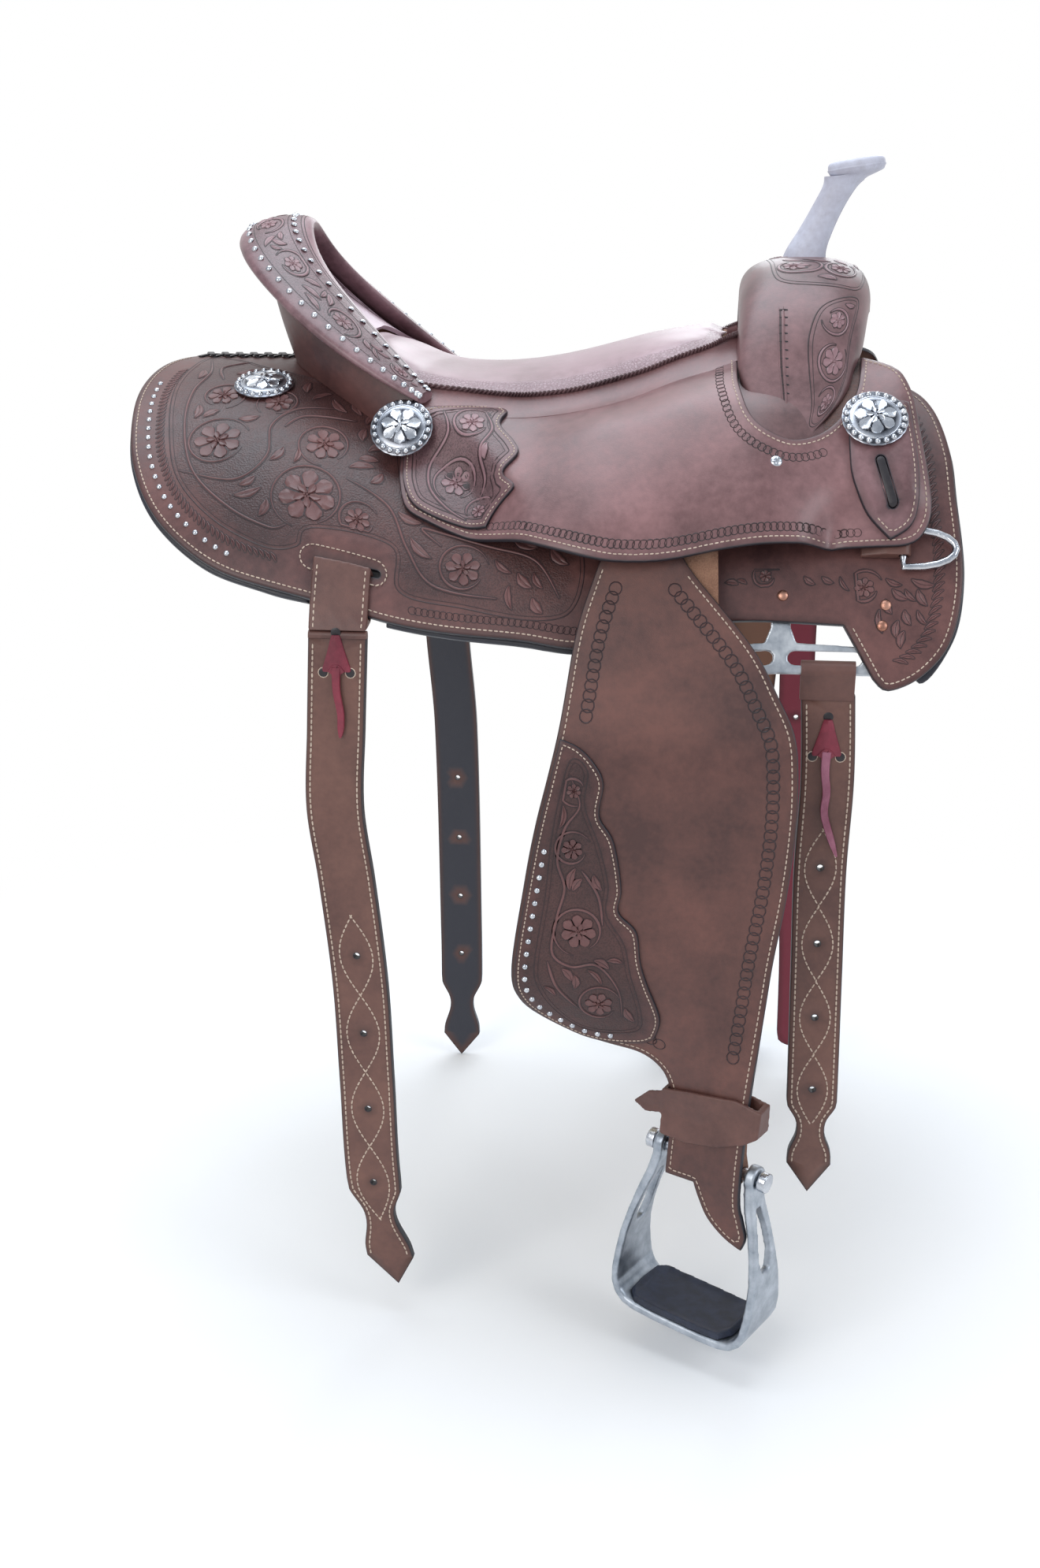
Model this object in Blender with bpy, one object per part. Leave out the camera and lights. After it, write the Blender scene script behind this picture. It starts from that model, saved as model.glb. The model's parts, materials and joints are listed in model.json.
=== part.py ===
"""Barrel racing saddle, as it sits on a stand: tree, skirts, seat, rigging, billets, fenders and stirrups.

Sizes are in millimetres and become metres as each mesh is made.
+X points to the horn, +Y to the saddle's left side and +Z up.  Z = 0 is the ridge line of the stand under
the rear of the skirts.  The right side is built first and the left side is its mirror image.
"""
import bpy
import bmesh
from math import sin, cos, tan, radians, sqrt, pi, ceil, floor
from mathutils import Vector, Matrix
from mathutils.geometry import delaunay_2d_cdt

MM = 0.001
FIT = 0.4
SIDES = (("right", 1), ("left", -1))

# Body curve: the horse's back that every skirt, bar and jockey is bent over
HALF_GIRTH = 290
REAR_X, REAR_RIDGE, REAR_DROP = -260, 9, 330
DIP_X, DIP_RIDGE, DIP_DROP = -20, -25, 305
FRONT_X, FRONT_RIDGE, FRONT_DROP = 200, 34, 483

# Thickness of the layers, measured square to the body curve
FLEECE_THICK = 8
SKIRT_THICK = 8
BAR_THICK = 24
BAR_EDGE_THICK = 7
JOCKEY_THICK = 4
OVERLAY_THICK = 2.5
TAB_THICK = 4
PLATE_THICK = 3.2
LAYER_GAP = 0.9
PAD_RISE = 12
BODY_GRID = (52, 34)
HANG_GRID = (48, 34)
SHEAR = 0.12
FOLD_SNAP = 0.4

# Fender, stirrup leather and the slot of the bar that they hang from
PIVOT = (115, 222.3, -72)
FENDER_TILT = radians(22)
FLAT_RUN = 181
BEND_RADIUS = 180
PLY = 3.5
LIP_THICK = 7
LIP_RADIUS = 6
LIP_DEPTH = 19
SWING_LIMIT = radians(20)
STRAP_WIDTH = 70
FENDER_THICK = 4.5
FENDER_OVERLAY_THICK = 3
HOBBLE_THICK = 4
NECK_X = 160
TWIST = {"right": radians(28.6), "left": radians(3)}
BOLT_DIP = radians(4.4)
TWIST_START = 410
BOLT_RUN = 584

# Stirrup
STIRRUP_DROP = 160
TREAD_WIDTH = 140
TREAD_DEPTH = 64
PAD_THICK = 7
PAD_HALF = 56
BOLT_RADIUS = 6
LUG_HALF_SPAN = 45
LUG_THICK = 9

# Straps of the rigging
REAR_BILLET_WIDTH = 49
OFF_BILLET_WIDTH = 44
BILLET_PLY = 4
LATIGO_WIDTH = 38
REAR_BILLET_X = -157
REAR_HINGE = (273, -192)
OFF_BILLET_X = 243.5
LATIGO_X = 241.5
LOOP_RADIUS = 4.4
BILLET_HOLE_RADIUS = 3.5

# Hardware
CONCHO_GAP = 0.9
POST_RADIUS = 3
POST_FIT = 0.3
DEE_WIRE = 3.3
DEE_HALF = 16
DEE_REACH = 42
DEE_STRAP = 2.4
DEE_X, DEE_GIRTH = 300, 281
KEEPER_HALF = 7

# Seat
SEAT_HALF = 125
SEAT_BASE_THICK = 3
SEAT_GRID = (26, 21)

# Cantle
CANTLE_END_X = -105
CANTLE_END_Z = -8
CANTLE_HALF = 148
CANTLE_REACH = 159
CANTLE_RISE = 140
CANTLE_BACKWARD = Vector((-0.6, 0, -0.8))
ROLL_HALF_WIDTH = 34
ROLL_HALF_THICK = 12

# Swell and horn
SWELL_LEATHER = 4.2
HORN_CAP_RADIUS = 25
HORN_CAP_THICK = 11


def ease(t):
    t = min(max(t, 0.0), 1.0)
    return t * t * (3 - 2 * t)


def glide(t):
    """Ease made of two parabolas, so that the bend is even along each half."""
    t = min(max(t, 0.0), 1.0)
    return 2 * t * t if t < 0.5 else 1 - 2 * (1 - t) ** 2


def mix(a, b, t):
    return a + (b - a) * t


def piecewise(points, x):
    """Read a smooth curve through (x, value) points."""
    if x <= points[0][0]:
        return points[0][1]
    for (x0, v0), (x1, v1) in zip(points, points[1:]):
        if x <= x1:
            return mix(v0, v1, (x - x0) / (x1 - x0))
    return points[-1][1]


# Body curve

def section(x):
    """Ridge height and depth of the body curve at station x."""
    if x < DIP_X:
        t = glide((x - REAR_X) / (DIP_X - REAR_X))
        return mix(REAR_RIDGE, DIP_RIDGE, t), mix(REAR_DROP, DIP_DROP, t)
    t = glide((x - DIP_X) / (FRONT_X - DIP_X))
    return mix(DIP_RIDGE, FRONT_RIDGE, t), mix(DIP_DROP, FRONT_DROP, t)


def angle_at(x, girth):
    """Angle round the body curve at a distance down from the ridge."""
    drop = section(x)[1]
    angle, done, step = 0.0, 0.0, radians(1)
    while True:
        mid = angle + step / 2
        pace = sqrt((HALF_GIRTH * cos(mid)) ** 2 + (drop * sin(mid)) ** 2)
        if done + pace * step >= girth:
            return angle + (girth - done) / pace
        done += pace * step
        angle += step


def body_point(x, girth, lift):
    """Point of the right side, lifted square off the body curve."""
    ridge, drop = section(x)
    angle = angle_at(x, girth)
    normal = Vector((drop * sin(angle), HALF_GIRTH * cos(angle))).normalized()
    y = HALF_GIRTH * sin(angle) + normal.x * lift
    z = ridge - drop * (1 - cos(angle)) + normal.y * lift
    return Vector((x, -y, z))


def lifted_height(x, y, lift):
    """Height of the body curve at a distance y from the centre plane; the lift may follow the girth."""
    level = lift if callable(lift) else lambda girth: lift
    before = body_point(x, 0, level(0))
    girth = 6
    while True:
        point = body_point(x, girth, level(girth))
        if -point.y >= abs(y):
            t = (abs(y) + before.y) / (before.y - point.y)
            return mix(before.z, point.z, t)
        before = point
        girth += 6


def body_frame(x, girth, lift):
    """Placement whose X runs forward, Z points out of the leather and Y lies in it."""
    origin = body_point(x, girth, lift)
    out = (body_point(x, girth, lift + 1) - origin).normalized()
    along = Vector((1, 0, 0))
    across = out.cross(along).normalized()
    return Matrix.Translation(origin) @ Matrix((along, across, out)).transposed().to_4x4()


# Meshes

def material(name, colour, roughness, metallic=0.0):
    mat = bpy.data.materials.get(name)
    if mat is None:
        mat = bpy.data.materials.new(name)
        mat.use_nodes = True
        shader = mat.node_tree.nodes["Principled BSDF"]
        shader.inputs["Base Color"].default_value = (*colour, 1)
        shader.inputs["Roughness"].default_value = roughness
        shader.inputs["Metallic"].default_value = metallic
    return mat


def leather():
    return material("brown_leather", (0.085, 0.042, 0.034), 0.5)


def pale_leather():
    return material("horn_leather", (0.30, 0.25, 0.24), 0.6)


def suede():
    return material("tan_leather", (0.28, 0.17, 0.12), 0.8)


def burgundy():
    return material("burgundy_leather", (0.17, 0.02, 0.035), 0.5)


def wool():
    return material("cream_fleece", (0.55, 0.45, 0.28), 0.95)


def wood():
    return material("tree_wood", (0.42, 0.28, 0.15), 0.7)


def steel():
    return material("stainless_steel", (0.62, 0.65, 0.68), 0.25, 1.0)


def aluminium():
    return material("satin_aluminium", (0.60, 0.64, 0.68), 0.4, 1.0)


def rubber():
    return material("black_rubber", (0.015, 0.017, 0.022), 0.7)


def make(name, verts, faces, mat, side=1, origin=(0, 0, 0)):
    """One closed mesh object; side -1 mirrors it to the left."""
    flip = Vector((1, side, 1))
    place = Vector(origin) * flip * MM
    mesh = bpy.data.meshes.new(name)
    mesh.from_pydata([Vector(v) * flip * MM - place for v in verts], [], faces)
    bm = bmesh.new()
    bm.from_mesh(mesh)
    bmesh.ops.remove_doubles(bm, verts=bm.verts, dist=0.00001)
    bmesh.ops.dissolve_degenerate(bm, edges=bm.edges, dist=0.000005)
    bmesh.ops.recalc_face_normals(bm, faces=bm.faces)
    bm.to_mesh(mesh)
    bm.free()
    mesh.shade_smooth()
    mesh.set_sharp_from_angle(angle=radians(35))
    mesh.materials.append(mat)
    obj = bpy.data.objects.new(name, mesh)
    obj.location = place
    bpy.context.scene.collection.objects.link(obj)
    return obj


def cut(obj, cutters, operation='DIFFERENCE'):
    """Boolean each cutter into the object and delete the cutter."""
    for cutter in cutters:
        mod = obj.modifiers.new(cutter.name, 'BOOLEAN')
        mod.operation = operation
        mod.object = cutter
        mod.solver = 'EXACT'
        depsgraph = bpy.context.evaluated_depsgraph_get()
        mesh = bpy.data.meshes.new_from_object(obj.evaluated_get(depsgraph))
        obj.modifiers.clear()
        obj.data = mesh
        bpy.data.objects.remove(cutter)
    return obj


def smooth_loop(points, spacing):
    """Closed outline through the points; a third item marks a sharp corner."""
    count = len(points)
    loop = []
    for i in range(count):
        start, end = points[i], points[(i + 1) % count]
        before = start if len(start) > 2 else points[i - 1]
        after = end if len(end) > 2 else points[(i + 2) % count]
        a, b, c, d = (Vector(p[:2]) for p in (before, start, end, after))
        steps = max(1, ceil((c - b).length / spacing))
        for k in range(steps):
            t = k / steps
            m1 = (c - a) / 2
            m2 = (d - b) / 2
            loop.append(b * (2 * t ** 3 - 3 * t ** 2 + 1) + m1 * (t ** 3 - 2 * t ** 2 + t)
                        + c * (3 * t ** 2 - 2 * t ** 3) + m2 * (t ** 3 - t ** 2))
    return loop


def edge_distance(loop, point):
    best = 1e9
    for a, b in zip(loop, loop[1:] + loop[:1]):
        run = b - a
        t = min(max((point - a).dot(run) / max(run.length_squared, 1e-9), 0), 1)
        best = min(best, (a + run * t - point).length)
    return best


def inside(loop, point):
    hit = False
    for a, b in zip(loop, loop[1:] + loop[:1]):
        if (a.y > point.y) != (b.y > point.y):
            if point.x < (b.x - a.x) * (point.y - a.y) / (b.y - a.y) + a.x:
                hit = not hit
    return hit


def faceted(surface, step, level):
    """Surface with straight facets between the nodes of a slightly sheared grid, so that layers lie parallel."""
    nodes = {}

    def node(i, j):
        if (i, j) not in nodes:
            b = j * step[1]
            a = i * step[0] + SHEAR * b
            nodes[(i, j)] = surface(a, b, level(a, b) if callable(level) else level)
        return nodes[(i, j)]

    def place(a, b):
        u, v = (a - SHEAR * b) / step[0], b / step[1]
        i, j = floor(u), floor(v)
        u, v = u - i, v - j
        if u + v <= 1:
            return node(i, j) * (1 - u - v) + node(i + 1, j) * u + node(i, j + 1) * v
        return node(i + 1, j + 1) * (u + v - 1) + node(i, j + 1) * (1 - u) + node(i + 1, j) * (1 - v)
    return place


def fold_measures(point, step):
    """Position of a point across the three families of fold lines; a whole number lies on a fold."""
    u, v = (point.x - SHEAR * point.y) / step[0], point.y / step[1]
    return u, v, u + v


def on_grid(loop, step):
    """Outline with a point wherever it crosses a fold line of the grid."""
    full = []
    for p, q in zip(loop, loop[1:] + loop[:1]):
        cuts = []
        for m0, m1 in zip(fold_measures(p, step), fold_measures(q, step)):
            for k in range(ceil(min(m0, m1)), floor(max(m0, m1)) + 1):
                if m0 != m1:
                    cuts.append((k - m0) / (m1 - m0))
        length = (q - p).length
        full.append(p)
        last = 0
        for t in sorted(cuts):
            if (t - last) * length > FOLD_SNAP and (1 - t) * length > FOLD_SNAP:
                full.append(p.lerp(q, t))
                last = t
    return full


def fold_edges(points, step, outline, holes):
    """Edges that join neighbouring points along each fold line, so that no face crosses a fold."""
    lines = {}
    for index, point in enumerate(points):
        for family, value in enumerate(fold_measures(point, step)):
            if abs(value - round(value)) * min(step) < FOLD_SNAP:
                lines.setdefault((family, round(value)), []).append(index)
    edges = []
    for (family, _), members in lines.items():
        members.sort(key=lambda i: points[i].x if family == 1 else points[i].y)
        for i, j in zip(members, members[1:]):
            middle = (points[i] + points[j]) / 2
            if inside(outline, middle) and not any(inside(hole, middle) for hole in holes):
                edges.append((i, j))
    return edges


def sheet(outline, top, bottom, step, holes=()):
    """Vertices and faces of a sheet between the surfaces top(a, b) and bottom(a, b)."""
    loops = [outline, *holes]
    points, edges = [], []
    for loop in loops:
        first = len(points)
        points += loop
        edges += [(first + i, first + (i + 1) % len(loop)) for i in range(len(loop))]
    a_max, b_max = max(p.x for p in outline), max(p.y for p in outline)
    a_min, b_min = min(p.x for p in outline), min(p.y for p in outline)
    for j in range(floor(b_min / step[1]), ceil(b_max / step[1]) + 1):
        lean = SHEAR * j * step[1]
        for i in range(floor((a_min - lean) / step[0]), ceil((a_max - lean) / step[0]) + 1):
            p = Vector((i * step[0] + lean, j * step[1]))
            if not inside(outline, p) or any(inside(hole, p) for hole in holes):
                continue
            if min(edge_distance(loop, p) for loop in loops) > FOLD_SNAP:
                points.append(p)
    edges += fold_edges(points, step, outline, holes)
    flat, _, triangles, _, _, _ = delaunay_2d_cdt(points, edges, [list(range(len(outline)))], 1, 0.001)
    kept = []
    for tri in triangles:
        centre = sum((flat[i] for i in tri), Vector((0, 0))) / 3
        if not any(inside(hole, centre) for hole in holes):
            kept.append(tuple(tri))
    count = len(flat)
    verts = [top(p.x, p.y) for p in flat] + [bottom(p.x, p.y) for p in flat]
    used = set()
    for tri in kept:
        used |= {(tri[i], tri[(i + 1) % 3]) for i in range(3)}
    faces = kept + [tuple(count + i for i in reversed(tri)) for tri in kept]
    faces += [(b, a, count + a, count + b) for a, b in used if (b, a) not in used]
    return verts, faces


def tidy(verts, faces):
    """Drop the vertices that no face uses."""
    wanted = sorted({i for face in faces for i in face})
    index = {old: new for new, old in enumerate(wanted)}
    return [verts[i] for i in wanted], [tuple(index[i] for i in face) for face in faces]


def panel(name, outline, surface, low, high, step, mat, side=1, holes=(), origin=(0, 0, 0)):
    """Sheet of leather or metal between two lifts off a surface."""
    verts, faces = tidy(*sheet(on_grid(outline, step), faceted(surface, step, high),
                               faceted(surface, step, low), step, [on_grid(h, step) for h in holes]))
    return make(name, verts, faces, mat, side, origin)


def loft(rings, closed=False):
    """Skin between rings of equal size, with filled ends unless it is closed on itself."""
    size = len(rings[0])
    verts = [p for ring in rings for p in ring]
    faces = []
    spans = len(rings) if closed else len(rings) - 1
    for r in range(spans):
        nxt = (r + 1) % len(rings)
        for i in range(size):
            j = (i + 1) % size
            faces.append((r * size + i, r * size + j, nxt * size + j, nxt * size + i))
    if not closed:
        faces.append(tuple(reversed(range(size))))
        faces.append(tuple(range(len(verts) - size, len(verts))))
    return verts, faces


def turned(profile, segments, frame):
    """Lathe a (radius, height) profile round the frame's Z; the profile ends on the axis."""
    rings = []
    for k in range(segments):
        a = 2 * pi * k / segments
        rings.append([(r * cos(a), r * sin(a), h) for r, h in profile if r > 0])
    verts = [frame @ Vector(p) for ring in rings for p in ring]
    size = len(rings[0])
    faces = []
    for k in range(segments):
        n = (k + 1) % segments
        for i in range(size - 1):
            faces.append((k * size + i, n * size + i, n * size + i + 1, k * size + i + 1))
    faces.append(tuple(k * size for k in range(segments)))
    faces.append(tuple(k * size + size - 1 for k in reversed(range(segments))))
    return verts, faces


def swept(path, radius, sides, closed):
    """Round wire along a path of points."""
    rings = []
    count = len(path)
    up = None
    for i, p in enumerate(path):
        before = path[i - 1] if closed or i else path[i]
        after = path[(i + 1) % count] if closed or i < count - 1 else path[i]
        ahead = (after - before).normalized()
        if up is None:
            up = ahead.orthogonal().normalized()
        up = (up - ahead * up.dot(ahead)).normalized()
        across = ahead.cross(up)
        rings.append([p + up * radius * cos(2 * pi * k / sides) + across * radius * sin(2 * pi * k / sides)
                      for k in range(sides)])
    return loft(rings, closed)


def circle(cx, cy, rx, ry, count):
    return [Vector((cx + rx * cos(2 * pi * k / count), cy + ry * sin(2 * pi * k / count)))
            for k in range(count)]


def slot_loop(cx, cy, half_length, half_width, turn=0, count=5):
    """Rounded slot, long along its first axis and turned by an angle."""
    loop = []
    for sign in (1, -1):
        for k in range(count + 1):
            a = sign * pi / 2 - pi * k / count
            p = Vector((sign * (half_length - half_width) + half_width * cos(a), half_width * sin(a)))
            loop.append(Vector((cx + p.x * cos(turn) - p.y * sin(turn), cy + p.x * sin(turn) + p.y * cos(turn))))
    return loop


# Outlines on the body curve, as (station x, distance down from the ridge)

SKIRT_OUTLINE = [
    (-352, 1.5, 1), (-366, 45), (-372, 98), (-369, 146), (-355, 207), (-326, 260), (-278, 300),
    (-224, 318), (-134, 327), (-22, 329), (30, 338), (90, 348), (116, 352, 1),
    (138, 339, 1), (254, 343, 1), (279, 386, 1), (292, 395), (319, 382), (341, 352), (349, 300),
    (343, 232), (339, 191), (327, 148), (307, 122), (265, 100, 1), (190, 78), (100, 62), (20, 52),
    (-60, 34), (-130, 1.5, 1)]

FLEECE_OUTLINE = [
    (-352, 1.5, 1), (-368, 45), (-374, 98), (-371, 147), (-357, 209), (-328, 262), (-279, 303),
    (-224, 321), (-188, 325, 1), (-186, 278, 1), (-124, 278, 1), (-122, 330, 1), (-22, 332), (30, 341),
    (76, 348), (104, 350, 1), (110, 298, 1), (306, 298, 1), (315, 386), (343, 353), (351, 300),
    (345, 232), (341, 190), (329, 146), (308, 119), (265, 97, 1), (190, 76), (100, 60), (20, 50),
    (-60, 32), (-130, 1.5, 1)]

BAR_OUTLINE = [
    (-215, 50), (-160, 45), (-80, 46), (20, 52), (110, 62), (190, 78), (250, 96), (270, 108),
    (268, 150), (262, 184), (240, 206), (205, 224), (180, 240), (160, 248, 1), (70, 248, 1), (50, 240),
    (20, 200), (-20, 152), (-60, 118), (-100, 100), (-150, 96), (-190, 82), (-213, 66)]

JOCKEY_OUTLINE = [
    (265, 113, 1), (291, 128), (306, 154), (312, 186), (317, 216), (321, 250), (316, 270), (303, 281),
    (271, 284), (207, 288), (162, 291), (116, 293), (79, 288), (43, 279), (-22, 256), (-63, 245),
    (-90, 236), (-112, 226), (-120, 204), (-123, 182), (-123, 140), (-123, 96, 1), (-70, 96),
    (20, 96), (100, 90), (146, 84, 1), (160, 106), (163, 155), (175, 191), (200, 207), (223, 203),
    (243, 187), (260, 157)]

JOCKEY_OVERLAY_OUTLINE = [
    (-120, 178, 1), (-119, 150), (-80, 128), (-44, 118, 1), (-34, 130), (-38, 148), (-24, 168),
    (-19, 182), (-30, 200), (-19, 214), (-34, 226), (-42, 240, 1), (-62, 238), (-92, 230),
    (-108, 221), (-117, 202)]

TAB_OUTLINE = [
    (253, 168, 1), (254, 212), (257, 236), (268, 258), (288, 279, 1), (304, 268), (310, 250),
    (309, 216), (302, 168, 1)]

PLATE_OUTLINE = [
    (196, 344, 1), (196, 330, 1), (176, 326), (176, 306), (232, 306), (232, 326), (212, 330, 1),
    (212, 344, 1), (217, 357, 1), (266, 359, 1), (272, 330, 1), (282, 322), (300, 330), (298, 350),
    (288, 378), (279, 383, 1), (128, 383, 1), (120, 376), (120, 330), (132, 322), (142, 330),
    (142, 357, 1), (191, 357, 1)]


def bar_edge(x):
    """Distance down the side at which the bar ends."""
    return piecewise([(-150, 98), (-100, 104), (-60, 128), (-20, 170), (20, 216), (50, 248), (175, 248), (240, 206)], x)


def pad_rise(x, girth):
    """Raised pad of the bar that carries the stirrup slot."""
    return PAD_RISE * ease(1 - (abs(x - PIVOT[0]) - 52) / 16) * ease((girth - 190) / 18)


def bar_thick(girth):
    """Thickness of the bar, thinned towards its inner edge under the rider."""
    return piecewise([(2 * BODY_GRID[1], BAR_EDGE_THICK), (4 * BODY_GRID[1], BAR_THICK)], girth)


def bar_top(x, girth):
    return SKIRT_THICK + LAYER_GAP + bar_thick(girth) + pad_rise(x, girth)


def jockey_low(x, girth):
    """Lift of the jockey's underside: over the bars, fender and dee keeper, and down on the skirt behind."""
    over_bar = ease((bar_edge(x) + BODY_GRID[1] + 40 - girth) / 40) * ease((345 - x) / 50)
    over_fender = ease((x + 62) / 60) * ease((258 - x) / 45)
    over_dee = ease((x - 225) / 30) * ease((girth - 190) / 30)
    rest = SKIRT_THICK + LAYER_GAP
    high = rest + bar_thick(girth) + LAYER_GAP
    near_pad = ease(1 - (abs(x - PIVOT[0]) - 60) / 90) * ease((girth - 120) / 60) * ease((345 - girth) / 90)
    lift = mix(rest, high + (PAD_RISE + 4.5) * near_pad, max(over_bar, over_fender))
    return max(lift, mix(rest, dee_lift() + DEE_WIRE + FIT + DEE_STRAP + LAYER_GAP, over_dee))


def jockey_high(x, girth):
    return jockey_low(x, girth) + JOCKEY_THICK


def billet_outline(width, middle, marks):
    """Strap with a shaped tip: middle gives its centre line, marks the half widths along it."""
    centre = lambda b: piecewise(middle, b)
    tip = middle[-1][0]
    right = [(centre(b) + width * share, b) for b, share in marks]
    left = [(centre(b) - width * share, b) for b, share in reversed(marks)]
    return [Vector(p) for p in right] + [Vector((centre(tip), tip))] + [Vector(p) for p in left]


def tip_marks(middle, shoulder, neck, bulge):
    """Half widths of a strap at its own bends and round its tip, as shares of the width."""
    body = [(b, 0.5) for b, _ in middle[:-1] if b < shoulder]
    return body + [(shoulder, 0.5), (neck - 8, 0.3), (neck + 6, 0.29), (bulge - 12, 0.42), (bulge, 0.44)]


# Skirts and rigging

def build_skirts(name, side):
    slot = slot_loop(REAR_BILLET_X, 289, REAR_BILLET_WIDTH / 2 + 4, 3.4)
    panel("skirt_" + name, smooth_loop(SKIRT_OUTLINE, 60), body_point, 0, SKIRT_THICK, BODY_GRID,
          leather(), side, [slot])
    panel("fleece_" + name, smooth_loop(FLEECE_OUTLINE, 60), body_point, -LAYER_GAP - FLEECE_THICK,
          -LAYER_GAP, BODY_GRID, wool(), side)


def build_plate(name, side):
    """Rigging plate: a flat steel bar with two long slots, tongued up under the skirt."""
    slots = [slot_loop(240.5, 369.5, 30.5, 6), slot_loop(169.5, 369.5, 29, 6)]
    top = -LAYER_GAP
    panel("rigging_plate_" + name, smooth_loop(PLATE_OUTLINE, 60), body_point, top - PLATE_THICK, top,
          BODY_GRID, steel(), side, slots)


def strap_tail(name, side, mat, drop, half, outline, rows, origin):
    """Flat hanging part of a strap, in the upright plane through its hinge."""
    y, z = drop

    def place(a, b, lift):
        return Vector((a, -y - lift, z - b))

    holes = [circle(x, b, BILLET_HOLE_RADIUS, BILLET_HOLE_RADIUS, 8) for x, b in rows]
    verts, faces = tidy(*sheet(outline, lambda a, b: place(a, b, half), lambda a, b: place(a, b, -half),
                               (90, 120), holes))
    return make(name, verts, faces, mat, side, origin)


def hanging_strap(name, side, mat, hinge, width, middle, outline, rows):
    """Two-ply strap that turns about the line through its rounded top edge."""
    y, z = hinge
    half = BILLET_PLY + 0.2
    origin = (middle[0][1], -y, z)
    obj = strap_tail(name, side, mat, hinge, half, outline, rows, origin)
    knuckle = []
    for end in (-width / 2, width / 2):
        ring = []
        for k in range(9):
            a = pi * k / 8
            ring.append(Vector((middle[0][1] + end, -y - half * cos(a), z + half * sin(a))))
        ring += [Vector((middle[0][1] + end, -y + half, z - 2)),
                 Vector((middle[0][1] + end, -y - half, z - 2))]
        knuckle.append(ring)
    return cut(obj, [make(name + "_top", *loft(knuckle), mat, side, origin)], 'UNION')


REAR_MIDDLE = {
    "right": [(0, -160), (80, -164), (150, -167), (215, -159), (311, -149.5), (403, -146), (508, -142),
              (575, -130), (611, -121)],
    "left": [(0, -159), (107, -156), (220, -147), (480, -143), (560, -143), (641, -144)]}


def build_rear_billet(name, side):
    """Strap folded round the skirt's lower edge through its slot, with the billet hung below it."""
    y, z = REAR_HINGE
    middle = REAR_MIDDLE[name]
    tip = middle[-1][0]
    outline = billet_outline(REAR_BILLET_WIDTH, middle, tip_marks(middle, tip - 100, tip - 68, tip - 28))
    rows = [(piecewise(middle, 285 + 74 * k), 285 + 74 * k) for k in range(4)]
    hanging_strap("rear_billet_" + name, side, leather(), REAR_HINGE, REAR_BILLET_WIDTH, middle, outline,
                  rows)
    foot = z + BILLET_PLY + 0.2 + FIT
    low, high = 291.4, 328.5
    gap = 1.3
    rings = []
    inner_rings = []
    for k in range(4):
        x = mix(-160 - REAR_BILLET_WIDTH / 2, -160 + REAR_BILLET_WIDTH / 2, k / 3)

        def spot(girth, lift):
            point = body_point(x, girth, lift)
            return Vector((x, point.y, point.z))

        thick = BILLET_PLY
        ring = [spot(low - thick, SKIRT_THICK + gap + thick), spot(mix(low, high, 0.5), SKIRT_THICK + gap + thick),
                spot(high, SKIRT_THICK + gap + thick)]
        ring += [Vector((x, -y - BILLET_PLY - 0.2, foot)), Vector((x, -y + BILLET_PLY + 0.2, foot))]
        ring += [spot(high, -gap - thick), spot(mix(low, high, 0.5), -gap - thick),
                 spot(low - thick, -gap - thick)]
        rings.append(ring)
        inner = [spot(low, SKIRT_THICK + gap), spot(mix(low, high, 0.5), SKIRT_THICK + gap),
                 spot(high, SKIRT_THICK + gap), spot(high, -gap), spot(mix(low, high, 0.5), -gap),
                 spot(low, -gap)]
        inner_rings.append(inner)
    first, last = inner_rings[0], inner_rings[-1]
    inner_rings[0] = [p - (q - p) * 0.2 for p, q in zip(first, inner_rings[1])]
    inner_rings[-1] = [p + (p - q) * 0.2 for p, q in zip(last, inner_rings[-2])]
    obj = make("rear_billet_loop_" + name, *loft(rings), leather(), side)
    cut(obj, [make("loop_hollow", *loft(inner_rings), leather(), side)])


def plate_hinge():
    """Axis of the rigging strap: the middle of the strip under the plate's slot."""
    point = body_point(OFF_BILLET_X, 379.3, -LAYER_GAP - PLATE_THICK / 2)
    return -point.y, point.z


OFF_MIDDLE = [(0, OFF_BILLET_X), (90, 247.5), (172, 245.5), (265, 247), (389, 249), (478, 249)]
LATIGO_MIDDLE = [(0, LATIGO_X), (132, 241.5), (300, 247), (453, 255), (573, 257)]


def build_rigging_strap(name, side, mat, width, middle, outline, rows):
    """Strap folded round the plate's lower strip: a ring round the strip that closes to two plies."""
    y, z = plate_hinge()
    half = width / 2
    x0, x1 = middle[0][1] - half, middle[0][1] + half
    outer_radius = LOOP_RADIUS + BILLET_PLY
    plies = BILLET_PLY + 0.2
    neck = 22
    origin = (middle[0][1], -y, z)
    rings = []
    for x in (x0, x1):
        ring = []
        for k in range(13):
            a = radians(mix(-35, 215, k / 12))
            ring.append((outer_radius * cos(a), outer_radius * sin(a)))
        ring += [(-plies, -neck), (plies, -neck)]
        rings.append([Vector((x, -y - p, z + q)) for p, q in ring])
    obj = make(name, *loft(rings), mat, side, origin)
    tail = strap_tail(name + "_tail", side, mat, (y, z - neck + 3), plies, outline, rows, origin)
    cut(obj, [tail], 'UNION')
    bore = []
    for x in (x0 - 5, x1 + 5):
        ring = []
        for k in range(11):
            a = radians(mix(-45, 225, k / 10))
            ring.append((LOOP_RADIUS * cos(a), LOOP_RADIUS * sin(a)))
        ring.append((0, -LOOP_RADIUS * 1.9))
        bore.append([Vector((x, -y - p, z + q)) for p, q in ring])
    return cut(obj, [make(name + "_bore", *loft(bore), mat, side)])


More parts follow.
